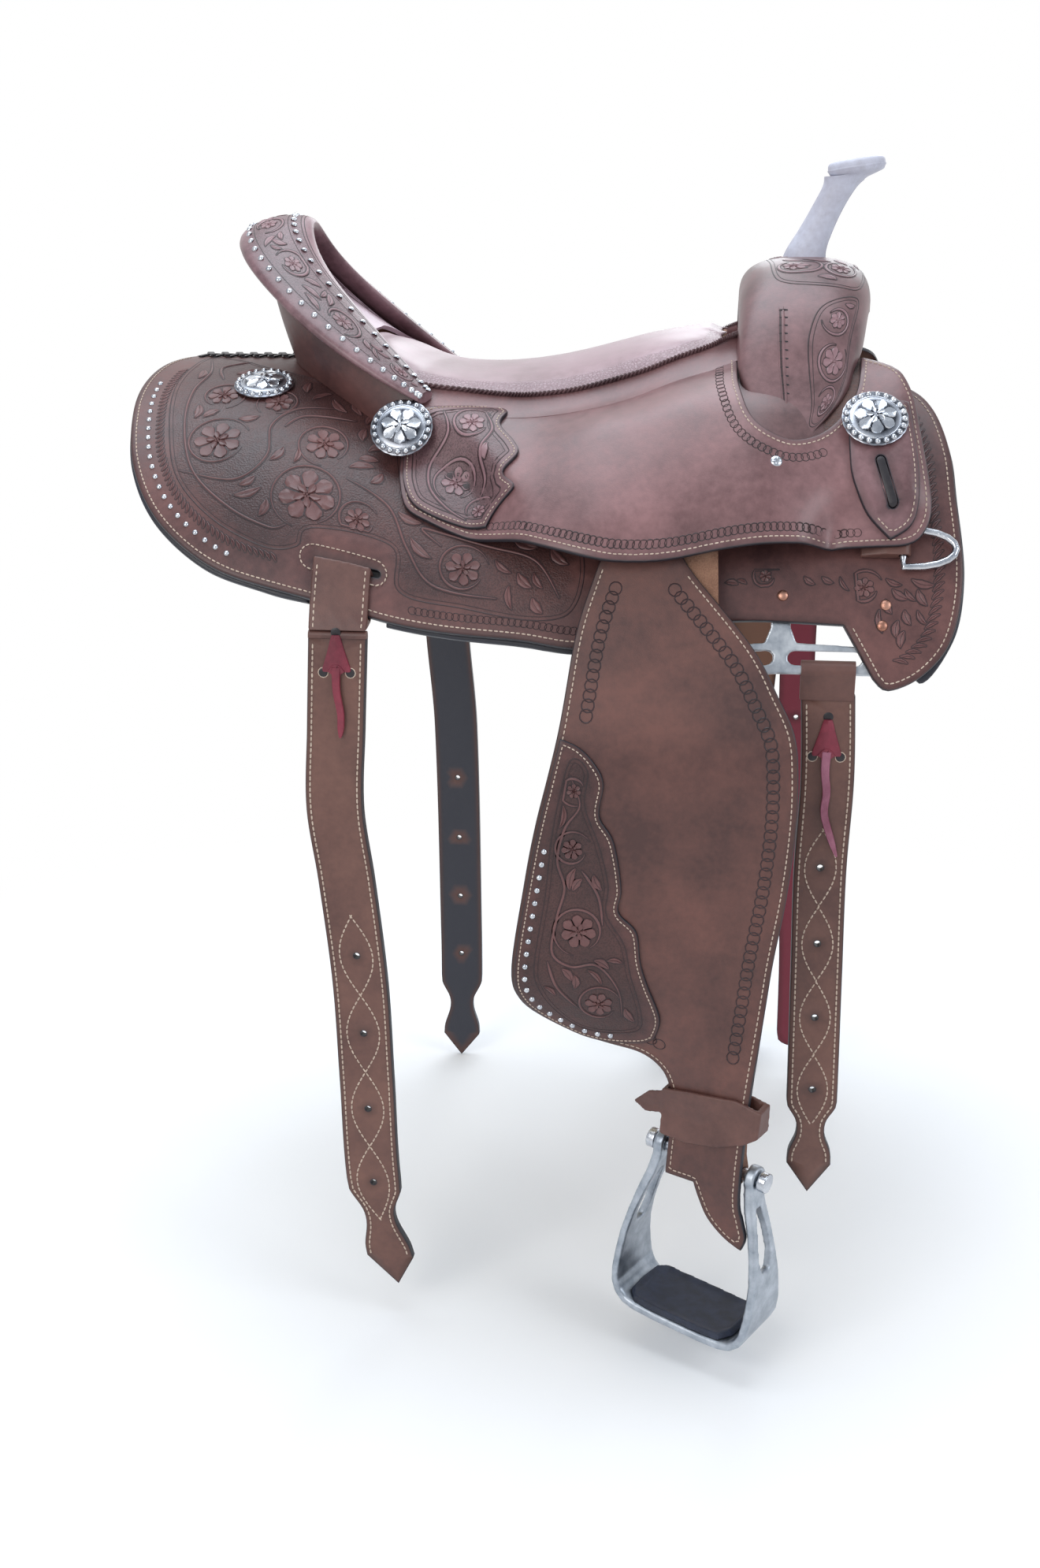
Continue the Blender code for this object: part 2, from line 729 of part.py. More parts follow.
def build_rigging_straps():
    neck = 19
    tip = OFF_MIDDLE[-1][0]
    off = billet_outline(OFF_BILLET_WIDTH, OFF_MIDDLE, tip_marks(OFF_MIDDLE, tip - 88, tip - 62, tip - 28))
    rows = [(piecewise(OFF_MIDDLE, 170 + 69 * k), 170 + 69 * k - neck) for k in range(4)]
    build_rigging_strap("off_billet_right", 1, leather(), OFF_BILLET_WIDTH, OFF_MIDDLE,
                        [p - Vector((0, neck)) if p.y > 0 else p for p in off], rows)
    length = LATIGO_MIDDLE[-1][0]
    marks = [(b, 0.5) for b, _ in LATIGO_MIDDLE[:-1]] + [(length - 12, 0.5)]
    long = billet_outline(LATIGO_WIDTH, LATIGO_MIDDLE, marks)
    build_rigging_strap("latigo_left", -1, burgundy(), LATIGO_WIDTH, LATIGO_MIDDLE,
                        [p - Vector((0, neck)) if p.y > 0 else p for p in long],
                        [(piecewise(LATIGO_MIDDLE, 170), 170 - neck)])


# Tree, fork and horn

def hang_frame():
    """Origin and directions of the fender's flat upper plane on the right side."""
    origin = Vector((PIVOT[0], -PIVOT[1], PIVOT[2]))
    down = Vector((0, -sin(FENDER_TILT), -cos(FENDER_TILT)))
    out = Vector((0, -cos(FENDER_TILT), sin(FENDER_TILT)))
    return origin, down, out


def hanging(name):
    """The fender surface of one side, turned by that side's own angle at the stirrup."""
    return lambda x, run, lift: hang_point(x, run, lift, TWIST[name])


def hang_point(x, run, lift, twist):
    """Point on the hanging fender: flat, bent to the vertical, then turned and dipped to meet the bolt."""
    origin, down, out = hang_frame()
    lean = ease((run - TWIST_START) / (BOLT_RUN - 25 - TWIST_START))
    across = x - NECK_X
    run += across * sin(BOLT_DIP) * lean
    if run <= FLAT_RUN:
        base, level = origin + down * run, out
    else:
        centre = origin + down * FLAT_RUN - out * BEND_RADIUS
        turn = min((run - FLAT_RUN) / BEND_RADIUS, FENDER_TILT)
        tilt = FENDER_TILT - turn
        level = Vector((0, -cos(tilt), sin(tilt)))
        fall = Vector((0, -sin(tilt), -cos(tilt)))
        base = centre + level * BEND_RADIUS + fall * max(run - FLAT_RUN - BEND_RADIUS * FENDER_TILT, 0)
    if lean == 0:
        point = base + level * lift
        return Vector((x, point.y, point.z))
    turn = twist * lean
    return Vector((NECK_X + across * cos(turn) - lift * sin(turn),
                   base.y - across * sin(turn) - lift * cos(turn), base.z))


def hang_block(name, outline, low, high, mat, side):
    """Prism with an outline in the fender's plane, as (across, down) from the pivot."""
    origin, down, out = hang_frame()
    rings = []
    for lift in (low, high):
        rings.append([origin + Vector((1, 0, 0)) * a + down * b + out * lift for a, b in outline])
    return make(name, *loft(rings), mat, side)


def lip_arch(radius, reach):
    """Top edge of the slot's lip: an arc with straight shoulders at the swing limits."""
    shoulder = -radius / cos(SWING_LIMIT) + reach * tan(SWING_LIMIT)
    arch = [(-reach, shoulder)]
    for k in range(9):
        a = mix(-SWING_LIMIT, SWING_LIMIT, k / 8)
        arch.append((radius * sin(a), -radius * cos(a)))
    arch.append((reach, shoulder))
    return arch


def build_bar(name, side):
    obj = panel("tree_bar_" + name, smooth_loop(BAR_OUTLINE, 60), body_point, SKIRT_THICK + LAYER_GAP, bar_top,
                BODY_GRID, wood(), side)
    half = STRAP_WIDTH / 2 + 3.5
    window = lip_arch(LIP_RADIUS, half) + [(half, -28), (-half, -28)]
    wide = half + 5
    thin = [(-wide, -32), (wide, -32), (wide, 60), (-wide, 60)]
    floor_depth = -16
    cutters = [hang_block("window", window, floor_depth, 60, wood(), side),
               hang_block("outer_relief", thin, LIP_THICK / 2, 60.5, wood(), side),
               hang_block("inner_relief", thin, floor_depth - 0.5, -LIP_THICK / 2, wood(), side),
               hang_block("lip_end", [(-wide, LIP_DEPTH), (wide, LIP_DEPTH), (wide, 60.5), (-wide, 60.5)],
                          floor_depth - 1, 61, wood(), side)]
    return cut(obj, cutters)


SWELL_OUTER = [(0, 108), (30, 107), (62, 102), (95, 88), (122, 68), (143, 44), (160, 18), (177, -8),
               (193, -30)]
SWELL_ARCH = [(0, 70), (24, 68), (48, 62), (72, 58.5)]
SWELL_REAR = [161, 161, 161, 161, 161, 162, 167, 181, 194]
SWELL_FRONT = [276, 276, 276, 273, 266, 259, 253, 240, 220]
SWELL_DOME = 0.62


def swell_foot(k):
    """Underside of the swell: the arch over the withers, then the top of the bars."""
    if k < len(SWELL_ARCH):
        return Vector(SWELL_ARCH[k])
    y = SWELL_OUTER[k][0] - 2
    return Vector((y, lifted_height(FRONT_X, y, SKIRT_THICK + 2 * LAYER_GAP + BAR_THICK + FIT)))


def swell_rings(inset, under, squeeze=1):
    """Rings across the swell from one foot over the top to the other."""
    rings = []
    last = len(SWELL_OUTER) - 1
    limit = last if inset <= 0 else last - 2
    for n in range(-limit, limit + 1):
        sign = -1 if n < 0 else 1
        k = abs(n)
        outer, inner = Vector(SWELL_OUTER[k]), swell_foot(k)
        up = (outer - inner).normalized()
        height = (outer - inner).length - inset
        rear, front = SWELL_REAR[k] + inset, SWELL_FRONT[k] - inset
        middle, half = (rear + front) / 2, (front - rear) / 2
        ring = []
        for j in range(13):
            a = pi * j / 12
            reach = half * abs(cos(a)) ** 0.75 * (1 if cos(a) >= 0 else -1)
            top = inner + up * (height * sin(a) ** SWELL_DOME)
            if j in (0, 12):
                top = inner - up * under
            ring.append(Vector((middle + reach, sign * top.x * squeeze, top.y)))
        rings.append(ring)
    return loft(rings)


def build_swell():
    make("tree_fork", *swell_rings(SWELL_LEATHER + LAYER_GAP, 0, 0.99), wood())
    cover = make("swell_cover", *swell_rings(0, 0), leather())
    hollow = make("swell_hollow", *swell_rings(SWELL_LEATHER, 8), wood())
    cut(cover, [hollow])


HORN_PATH = [(217, 92, 22, 20), (219, 112, 18, 17), (228, 132, 15, 14.5), (238, 152, 14, 13.5),
             (247, 168, 15, 15), (252, 176, 19, 19)]
HORN_TILT = radians(8)


def build_horn():
    """Leather-covered horn: a leaning neck that flares into a tilted round cap."""
    rings = []
    for x, z, rx, ry in HORN_PATH:
        rings.append([Vector((x + rx * cos(2 * pi * k / 20), ry * sin(2 * pi * k / 20), z))
                      for k in range(20)])
    centre = Vector((261, 0, 185))
    for radius, height in ((0.93, -0.5), (1.0, -0.2), (1.0, 0.25), (0.94, 0.46), (0.8, 0.55)):
        ring = []
        for k in range(20):
            a = 2 * pi * k / 20
            along = HORN_CAP_RADIUS * radius * cos(a)
            rise = HORN_CAP_THICK * height
            ring.append(centre + Vector((along * cos(HORN_TILT) - rise * sin(HORN_TILT),
                                         (HORN_CAP_RADIUS + 1.5) * radius * sin(a),
                                         along * sin(HORN_TILT) + rise * cos(HORN_TILT))))
        rings.append(ring)
    horn = make("horn", *loft(rings), pale_leather())
    seat = make("horn_seat", *swell_rings(-FIT, 0), leather())
    cut(horn, [seat])


# Seat and cantle

SEAT_CREST = [(-186, 58), (-165, 40), (-140, 25), (-100, 13.5), (-60, 11.5), (-19, 15.4), (12, 20.6),
              (43, 28.6), (84, 39.4), (110, 44), (140, 44), (170, 44)]
SEAT_EDGE = [(-186, 54), (-131, 10), (-110, 2), (-69, -3), (-37, -6), (-11, -6), (21, -2), (53, 6),
             (83, 15), (111, 26), (137, 35), (152, 42), (170, 43)]
SEAT_OUTLINE = [
    (-128, -118), (-60, -124), (0, -123), (60, -119), (110, -112), (149, -92, 1), (155, -60), (157, 0),
    (155, 60), (149, 92, 1), (110, 112), (60, 119), (0, 123), (-60, 124), (-128, 118), (-154, 92),
    (-172, 50), (-179, 0), (-172, -50), (-154, -92)]


def seat_height(x, y):
    crest, edge = piecewise(SEAT_CREST, x), piecewise(SEAT_EDGE, x)
    return mix(crest, edge, (y / SEAT_HALF) ** 2)


def base_low(x, y):
    return lifted_height(x, max(abs(y), 46), lambda girth: SKIRT_THICK + 2 * LAYER_GAP + bar_thick(girth) + FIT)


def build_seat():
    outline = smooth_loop(SEAT_OUTLINE, 26)

    def base_top(x, y):
        return base_low(x, y) + SEAT_BASE_THICK

    inset = [Vector((p.x * 0.97 - 1, p.y * 0.76)) for p in outline]
    verts, faces = tidy(*sheet(inset, lambda x, y: Vector((x, y, base_top(x, y))),
                               lambda x, y: Vector((x, y, base_low(x, y))), SEAT_GRID))
    make("ground_seat", verts, faces, suede())

    def low(x, y):
        return base_low(x, y) + max(SEAT_BASE_THICK, JOCKEY_THICK) + LAYER_GAP + 0.3

    def high(x, y):
        rim = edge_distance(outline, Vector((x, y)))
        floor_z = low(x, y) + 5
        crown = max(seat_height(x, y), floor_z + 2)
        return mix(crown - 5, crown, sqrt(ease(rim / 14)))

    verts, faces = tidy(*sheet(outline, lambda x, y: Vector((x, y, high(x, y))),
                               lambda x, y: Vector((x, y, low(x, y))), SEAT_GRID))
    make("seat_cushion", verts, faces, leather())


def cantle_point(t):
    """Middle line of the cantle roll; t runs from -1 at the right end to 1 at the left."""
    y = CANTLE_HALF * sin(t * pi / 2)
    share = abs(sin(t * pi / 2))
    return Vector((CANTLE_END_X - CANTLE_REACH * (1 - share ** 2.4), y,
                   CANTLE_END_Z + CANTLE_RISE * (1 - share ** 1.8)))


def cantle_out(t):
    """Level direction away from the seat at t."""
    run = cantle_point(min(t + 0.01, 1)) - cantle_point(max(t - 0.01, -1))
    return Vector((-run.y, run.x, 0)).normalized()


def roll_scale(t):
    return mix(1, 0.36, ease((abs(t) - 0.45) / 0.55))


def build_roll():
    rings = []
    for k in range(21):
        t = mix(-1, 1, k / 20)
        size = roll_scale(t)
        out = cantle_out(t)
        ring = []
        for j in range(10):
            a = 2 * pi * j / 10
            r = ROLL_HALF_WIDTH * size * cos(a)
            h = ROLL_HALF_THICK * size * sin(a) - r * 0.16
            ring.append(cantle_point(t) + out * r + Vector((0, 0, h)))
        rings.append(ring)
    make("cantle_roll", *loft(rings), leather())


def dish_point(t, v):
    """Front face of the cantle: from the seat's rear edge up to the underside of the roll."""
    a = t * pi / 2
    foot_y = 119 * sin(a)
    foot_x = -138 - 51 * (1 - abs(sin(a)) ** 2.2)
    foot = Vector((foot_x, foot_y, seat_height(foot_x, foot_y) - 4))
    size = roll_scale(t)
    head = cantle_point(t) - cantle_out(t) * 20 * size + Vector((0, 0, -ROLL_HALF_THICK * size * 0.82 - 0.7))
    point = foot.lerp(head, v)
    return point + cantle_out(t) * 7 * sin(pi * v) * size


def cantle_slab(name, near, far, start, stop, reach, mat):
    """Slab behind the cantle's front face, between two distances down and back from it."""
    rings = []
    for k in range(13):
        t = mix(-reach, reach, k / 12)
        ring = []
        for depth, order in ((near, range(5)), (far, range(4, -1, -1))):
            for j in order:
                ring.append(dish_point(t, mix(start, stop, j / 4)) + CANTLE_BACKWARD * depth)
        rings.append(ring)
    return make(name, *loft(rings), mat)


def build_cantle():
    build_roll()
    cantle_slab("cantle_dish", 1, 4.5, -0.13, 1.05, 0.42, leather())
    cantle_slab("tree_cantle", 5.1, 18, -0.08, 0.8, 0.42, wood())
    rings = []
    for k in range(19):
        t = mix(-0.8, 0.8, k / 18)
        size = roll_scale(t)
        out = cantle_out(t)
        head = cantle_point(t) + out * 10 * size + Vector((0, 0, -ROLL_HALF_THICK * size - 3.2 * size - 0.6))
        a = t * pi / 2
        foot_y = 152 * sin(a)
        foot_x = -120 - 130 * (1 - abs(sin(a)) ** 2.2)
        foot_z = lifted_height(foot_x, foot_y, SKIRT_THICK + 2.2)
        foot = Vector((foot_x, foot_y, min(foot_z, head.z - 2)))
        ring = []
        for depth, order in ((0, range(4)), (3.5, range(3, -1, -1))):
            for j in order:
                ring.append(head.lerp(foot, j / 3) + out * (depth - 3.5))
        rings.append(ring)
    make("cantle_back", *loft(rings), leather())


# Jockeys, tabs and conchos

def build_jockey(name, side):
    over = lambda more: lambda x, girth: jockey_high(x, girth) + LAYER_GAP + more
    panel("seat_jockey_" + name, smooth_loop(JOCKEY_OUTLINE, 60), body_point, jockey_low, jockey_high,
          BODY_GRID, leather(), side)
    panel("jockey_overlay_" + name, smooth_loop(JOCKEY_OVERLAY_OUTLINE, 60), body_point, over(0),
          over(OVERLAY_THICK), BODY_GRID, leather(), side)
    slot = slot_loop(284, 236, 21, 4.2, radians(72))
    panel("slotted_tab_" + name, smooth_loop(TAB_OUTLINE, 60), body_point, over(0), over(TAB_THICK),
          BODY_GRID, leather(), side, [slot])


CONCHO_PROFILE = [(26.2, 0), (27, 0.6), (27, 1.8), (23.5, 2.4), (21, 3.6), (15, 5.4), (6, 6.4)]


def facing_frame(x, girth, height):
    """Placement just above the surface at height(x, girth), with Z square to that surface."""
    reach = CONCHO_PROFILE[0][0]
    spot = lambda a, b: body_point(x + a, girth + b, height(x + a, girth + b))
    along = (spot(reach, 0) - spot(-reach, 0)).normalized()
    down = (spot(0, reach) - spot(0, -reach)).normalized()
    out = along.cross(down).normalized()
    if out.z < 0:
        out = -out
    across = out.cross(along).normalized()
    ring = [spot(reach * cos(k * pi / 6), reach * sin(k * pi / 6)) for k in range(12)] + [spot(0, 0)]
    middle = spot(0, 0)
    lift = max((p - middle).dot(out) for p in ring)
    return Matrix.Translation(middle + out * lift) @ Matrix((along, across, out)).transposed().to_4x4()


def concho_post(frame, x, girth, height, shift):
    """Screw post under a concho, down to the leather that carries it; the shift moves it along the frame's X."""
    seat = frame.inverted() @ faceted(body_point, BODY_GRID, height)(x + shift, girth)
    foot = seat.z - CONCHO_GAP + POST_FIT
    return loft([[frame @ Vector((shift + POST_RADIUS * cos(2 * pi * k / 8), POST_RADIUS * sin(2 * pi * k / 8), z))
                  for k in range(8)] for z in (foot, 1.5)])


def build_conchos(name, side):
    gap = CONCHO_GAP
    tops = (("rear", -259, 100, lambda x, g: SKIRT_THICK + gap),
            ("middle", -122, 159, lambda x, g: jockey_high(x, g) + LAYER_GAP + OVERLAY_THICK + gap),
            ("front", 274, 187, lambda x, g: jockey_high(x, g) + LAYER_GAP + TAB_THICK + gap))
    for place, x, girth, height in tops:
        frame = facing_frame(x, girth, height)
        concho = make("concho_" + place + "_" + name, *turned(CONCHO_PROFILE, 12, frame), steel(), side,
                      frame.translation)
        post = concho_post(frame, x, girth, height, 8 if place == "middle" else 0)
        cut(concho, [make("post", *post, steel(), side)], 'UNION')


def dee_lift():
    return SKIRT_THICK + LAYER_GAP + DEE_STRAP + FIT + DEE_WIRE


def build_dee(name, side):
    """D-shaped ring whose straight bar turns in a folded keeper strap."""
    frame = body_frame(DEE_X, DEE_GIRTH, dee_lift())
    path = [frame @ Vector((0, mix(-DEE_HALF, DEE_HALF, k / 4), 0)) for k in range(5)]
    for k in range(1, 10):
        a = pi / 2 - pi * k / 10
        path.append(frame @ Vector((DEE_REACH * cos(a) ** 0.8, DEE_HALF * sin(a), 0)))
    make("breast_dee_" + name, *swept(path, DEE_WIRE, 8, True), steel(), side, frame.translation)
    bore = DEE_WIRE + FIT
    outer = bore + DEE_STRAP
    near, far = -KEEPER_HALF, KEEPER_HALF
    rings = []
    for y in (near, far):
        ring = []
        for k in range(9):
            a = radians(mix(-90, 90, k / 8))
            ring.append((outer * cos(a), outer * sin(a)))
        ring += [(-14, outer), (-34, -1), (-34, -outer)]
        rings.append([frame @ Vector((p, y, q)) for p, q in ring])
    keeper = make("dee_keeper_" + name, *loft(rings), leather(), side)
    eye = [[frame @ Vector((bore * cos(2 * pi * k / 12), y, bore * sin(2 * pi * k / 12)))
            for k in range(12)] for y in (near - 3, far + 3)]
    cut(keeper, [make("keeper_eye_" + name, *loft(eye), leather(), side)])


# Fender, stirrup leather and stirrup

FENDER_OUTLINE = [
    (58, 58, 1), (51, 78), (38, 126), (27, 204), (9, 282), (-1, 338), (-11, 410), (-5, 444), (12, 467),
    (40, 485), (68, 490), (98, 493), (116, 504), (124, 519), (127, 540), (127, 602, 1), (155, 600, 1),
    (161, 614), (170, 629), (186, 641), (203, 647, 1), (207, 634), (203, 618), (199, 596), (199, 500),
    (206, 409), (216, 338), (221, 280), (221, 236), (217, 203), (203, 173), (181, 133), (132, 74),
    (122, 58, 1)]

FENDER_OVERLAY_OUTLINE = [
    (29, 210, 1), (44, 216), (57, 228), (65, 244), (62, 271), (74, 293), (81, 333), (79, 354), (94, 371),
    (98, 398), (104, 418), (116, 451), (112, 473, 1), (100, 480), (68, 486), (42, 482), (15, 464),
    (-2, 442), (-8, 410), (2, 338), (12, 282)]


def fender_low(x, run):
    """Lift of the fender's underside: on the stirrup leather, then out over the bolt."""
    return PLY + LAYER_GAP + piecewise([(34, 3), (68, 0), (546, 0), (572, 5), (598, 8.6)], run)


def build_fender(name, side):
    origin = (PIVOT[0], -PIVOT[1], PIVOT[2])
    surface = hanging(name)
    high = lambda x, run: fender_low(x, run) + FENDER_THICK
    panel("fender_" + name, smooth_loop(FENDER_OUTLINE, 60), surface, fender_low, high, HANG_GRID,
          leather(), side, (), origin)
    panel("fender_overlay_" + name, smooth_loop(FENDER_OVERLAY_OUTLINE, 60), surface,
          lambda x, run: high(x, run) + 0.6, lambda x, run: high(x, run) + 0.6 + FENDER_OVERLAY_THICK,
          HANG_GRID, leather(), side, (), origin)
    build_leather(name, side)
    build_hobble(name, side)


def build_leather(name, side):
    """Stirrup leather: over the bar's lip, both plies down behind the fender and round the bolt."""
    origin = (PIVOT[0], -PIVOT[1], PIVOT[2])
    twist = TWIST[name]
    half = STRAP_WIDTH / 2
    gap = LIP_THICK / 2 + FIT
    lip = LIP_RADIUS + FIT
    outer = gap + PLY
    start, stop = 34, BOLT_RUN - 12
    centre = lambda run: mix(PIVOT[0], NECK_X, ease((run - start) / 430))
    spread = lambda x, run: mix(outer, PLY, ease((run - start) / 20))
    runs = [mix(start, stop, k / 9) for k in range(10)]
    outline = [Vector((centre(r) + half, r)) for r in runs] + [Vector((centre(r) - half, r))
                                                               for r in reversed(runs)]
    obj = panel("stirrup_leather_" + name, outline, hanging(name), lambda x, run: -spread(x, run), spread,
                HANG_GRID, suede(), side, (), origin)
    fold = [(-outer, start + 8), (-outer, -lip - 0.5)]
    for k in range(1, 8):
        a = pi - pi * k / 8
        fold.append((outer * cos(a), -lip - 0.5 - PLY * sin(a)))
    fold += [(outer, -lip - 0.5), (outer, start + 8), (0, start + 20)]
    frame_origin, down, out = hang_frame()
    place = lambda u, w, v: frame_origin + Vector((u, 0, 0)) + out * w + down * v
    head = [[place(u, w, v) for w, v in fold] for u in (-half, half)]
    cut(obj, [make("fold_" + name, *loft(head), suede(), side)], 'UNION')
    gap_line = [(-gap, start - 4), (-gap, -lip), (gap, -lip), (gap, start - 4)]
    eye = [[place(u, w, v) for w, v in gap_line] for u in (-half - 20, half + 20)]
    cut(obj, [make("fold_eye_" + name, *loft(eye), suede(), side)])
    ring_out, ring_in = [], []
    for end in (-half + 1, half - 1):
        ring = []
        for k in range(17):
            a = radians(mix(-30, 210, k / 16))
            r = BOLT_RADIUS + FIT + PLY
            ring.append(stirrup_point(twist, end, r * cos(a), r * sin(a)))
        ring += [stirrup_point(twist, end, -PLY + 0.4, -18), stirrup_point(twist, end, PLY - 0.4, -18)]
        ring_out.append(ring)
    cut(obj, [make("bolt_loop_" + name, *loft(ring_out), suede(), side)], 'UNION')
    for end in (-half - 9, half + 9):
        r = BOLT_RADIUS + FIT
        ring_in.append([stirrup_point(twist, end, r * cos(2 * pi * k / 16), r * sin(2 * pi * k / 16))
                        for k in range(16)])
    cut(obj, [make("bolt_eye_" + name, *loft(ring_in), suede(), side)])


def bolt_place():
    """Middle of the stirrup bolt on the right side."""
    return hang_point(NECK_X, BOLT_RUN, 0, 0)


def build_hobble(name, side):
    """Hobble strap wrapped round the fender's neck, with its pointed end past the rear edge."""
    origin = (PIVOT[0], -PIVOT[1], PIVOT[2])
    surface = hanging(name)
    inner = lambda x, run: fender_low(x, run) + FENDER_THICK + 1
    outer = lambda x, run: inner(x, run) + HOBBLE_THICK
    back = -PLY - FIT
    band = [Vector(p) for p in ((120, 523), (150, 518), (187, 514), (212, 518), (212, 540), (200, 549),
                                (174, 560), (145, 566), (120, 566))]
    obj = panel("hobble_strap_" + name, band, surface, back - HOBBLE_THICK, outer, HANG_GRID, leather(),
                side, (), origin)
    core = [Vector(p) for p in ((123.5, 495), (207, 495), (207, 592), (123.5, 592))]
    cut(obj, [panel("hobble_core", core, surface, back, inner, HANG_GRID, leather(), side)])
    tail = [Vector(p) for p in ((131, 522), (107, 530), (92, 546), (104, 552), (131, 545))]
    flap = panel("hobble_tail", tail, surface, lambda x, run: inner(x, run) + 0.5,
                 lambda x, run: outer(x, run) - 0.5, HANG_GRID, leather(), side)
    cut(obj, [flap], 'UNION')


def stirrup_point(twist, p, q, h):
    """Stirrup coordinates: p along the bolt, q to the outside, h down from the bolt."""
    level = Vector((cos(twist), -sin(twist), 0))
    out = Vector((-sin(twist), -cos(twist), 0))
    upright = Vector((0, 0, 1))
    axis = level * cos(BOLT_DIP) - upright * sin(BOLT_DIP)
    down = -level * sin(BOLT_DIP) - upright * cos(BOLT_DIP)
    return bolt_place() + axis * p + out * q + down * h


def leg_line(t):
    """Middle line of a leg from the lug (t = 0) to the middle of the tread (t = 1)."""
    wide, deep = TREAD_WIDTH / 2, STIRRUP_DROP
    points = [(LUG_HALF_SPAN, 0), (LUG_HALF_SPAN + 2, 20), (wide - 13, deep * 0.33), (wide - 5.5, deep * 0.55),
              (wide - 4, deep * 0.73), (wide - 6, deep * 0.86), (wide - 15, deep * 0.94),
              (wide - 32, deep - 5), (0, deep - 4.5)]
    place = t * (len(points) - 1)
    k = min(int(place), len(points) - 2)
    f = place - k
    p0, p1, p2, p3 = (Vector(points[min(max(k + d, 0), len(points) - 1)]) for d in (-1, 0, 1, 2))
    m1, m2 = (p2 - p0) / 2, (p3 - p1) / 2
    return (p1 * (2 * f ** 3 - 3 * f ** 2 + 1) + m1 * (f ** 3 - 2 * f ** 2 + f)
            + p2 * (3 * f ** 2 - 2 * f ** 3) + m2 * (f ** 3 - f ** 2))


LEG_DEPTH = [(0, 10), (0.06, 11), (0.2, 15), (0.4, 24), (0.55, 31), (0.62, 32), (1, 32)]
LEG_THICK = [(0, 4.5), (0.12, 4.5), (0.3, 3.6), (0.6, 3.6), (0.75, 4.5), (1, 4.5)]


def leg_frame(t):
    """Point of a leg's middle line and the direction out of the frame there."""
    run = leg_line(min(t + 0.01, 1)) - leg_line(max(t - 0.01, 0))
    return leg_line(t), Vector((run.y, -run.x)).normalized()


def build_stirrup(name, side):
    """Cast frame: two windowed legs that flare into a wide flat tread."""
    twist = TWIST[name]
    rings = []
    count = 14
    for i in range(2 * count - 1):
        sign = 1 if i < count else -1
        t = (i if i < count else 2 * count - 2 - i) / (count - 1)
        here, out = leg_frame(t)
        thick = piecewise(LEG_THICK, t)
        depth = piecewise(LEG_DEPTH, t)
        ring = []
        for q, w in ((-1, -0.6), (-0.9, -1), (0.9, -1), (1, -0.6), (1, 0.6), (0.9, 1), (-0.9, 1), (-1, 0.6)):
            spot = here + out * thick * w
            ring.append(stirrup_point(twist, sign * spot.x, depth * q, spot.y))
        rings.append(ring)
    pivot = bolt_place()
    obj = make("stirrup_" + name, *loft(rings), aluminium(), side, pivot)
    for sign in (1, -1):
        lug = []
        for p in (LUG_HALF_SPAN - LUG_THICK / 2, LUG_HALF_SPAN + LUG_THICK / 2):
            lug.append([stirrup_point(twist, sign * p, 12 * cos(2 * pi * k / 16), 12 * sin(2 * pi * k / 16))
                        for k in range(16)])
        cut(obj, [make("lug", *loft(lug), aluminium(), side)], 'UNION')
    for sign in (1, -1):
        bore = []
        for p in (LUG_HALF_SPAN - 20, LUG_HALF_SPAN + 20):
            r = BOLT_RADIUS + FIT
            bore.append([stirrup_point(twist, sign * p, r * cos(2 * pi * k / 16), r * sin(2 * pi * k / 16))
                         for k in range(16)])
        window = []
        for p in (30, 90):
            window.append([stirrup_point(twist, sign * p, q, h) for q, h in
                           ((-4, 26), (4, 26), (8.5, 47), (11, 70), (6, 84), (-6, 84), (-11, 70), (-8.5, 47))])
        cut(obj, [make("lug_bore", *loft(bore), aluminium(), side),
                  make("leg_window", *loft(window), aluminium(), side)])
    build_bolt(name, side)
    build_pad(name, side)


def build_bolt(name, side):
    twist = TWIST[name]
    rings = []
    outer = LUG_HALF_SPAN + LUG_THICK / 2 + FIT + 1
    head = outer + 8
    for p, r in ((-head, 6), (-head, 9), (-outer, 9), (-outer, BOLT_RADIUS), (outer, BOLT_RADIUS), (outer, 9),
                 (head, 9), (head, 6)):
        rings.append([stirrup_point(twist, p, r * cos(2 * pi * k / 16), r * sin(2 * pi * k / 16))
                      for k in range(16)])
    make("stirrup_bolt_" + name, *loft(rings), steel(), side, bolt_place())


def build_pad(name, side):
    """Rubber tread pad with a raised rim, laid in the frame and turned up at its ends."""
    twist = TWIST[name]
    half_q = TREAD_DEPTH / 2 - 2
    outline = smooth_loop(
        [(-PAD_HALF, -20), (-PAD_HALF + 12, -half_q), (PAD_HALF - 12, -half_q), (PAD_HALF, -20), (PAD_HALF, 20),
         (PAD_HALF - 12, half_q), (-PAD_HALF + 12, half_q), (-PAD_HALF, 20)], 20)
    marks = [1 - k / 60 for k in range(31)]
    lengths = [0]
    for a, b in zip(marks, marks[1:]):
        lengths.append(lengths[-1] + (leg_line(b) - leg_line(a)).length)
    stations = list(zip(lengths, marks))

    def place(a, b, inward):
        here, out = leg_frame(piecewise(stations, abs(a)))
        spot = here - out * (LEG_THICK[-1][1] + FIT + inward)
        return stirrup_point(twist, spot.x if a >= 0 else -spot.x, b, spot.y)

    def high(a, b):
        rim = edge_distance(outline, Vector((a, b)))
        return mix(PAD_THICK, PAD_THICK - 2.5, ease(rim / 9))

    verts, faces = tidy(*sheet(outline, lambda a, b: place(a, b, high(a, b)), lambda a, b: place(a, b, 0),
                               (12, 12)))
    make("tread_pad_" + name, verts, faces, rubber(), side, bolt_place())


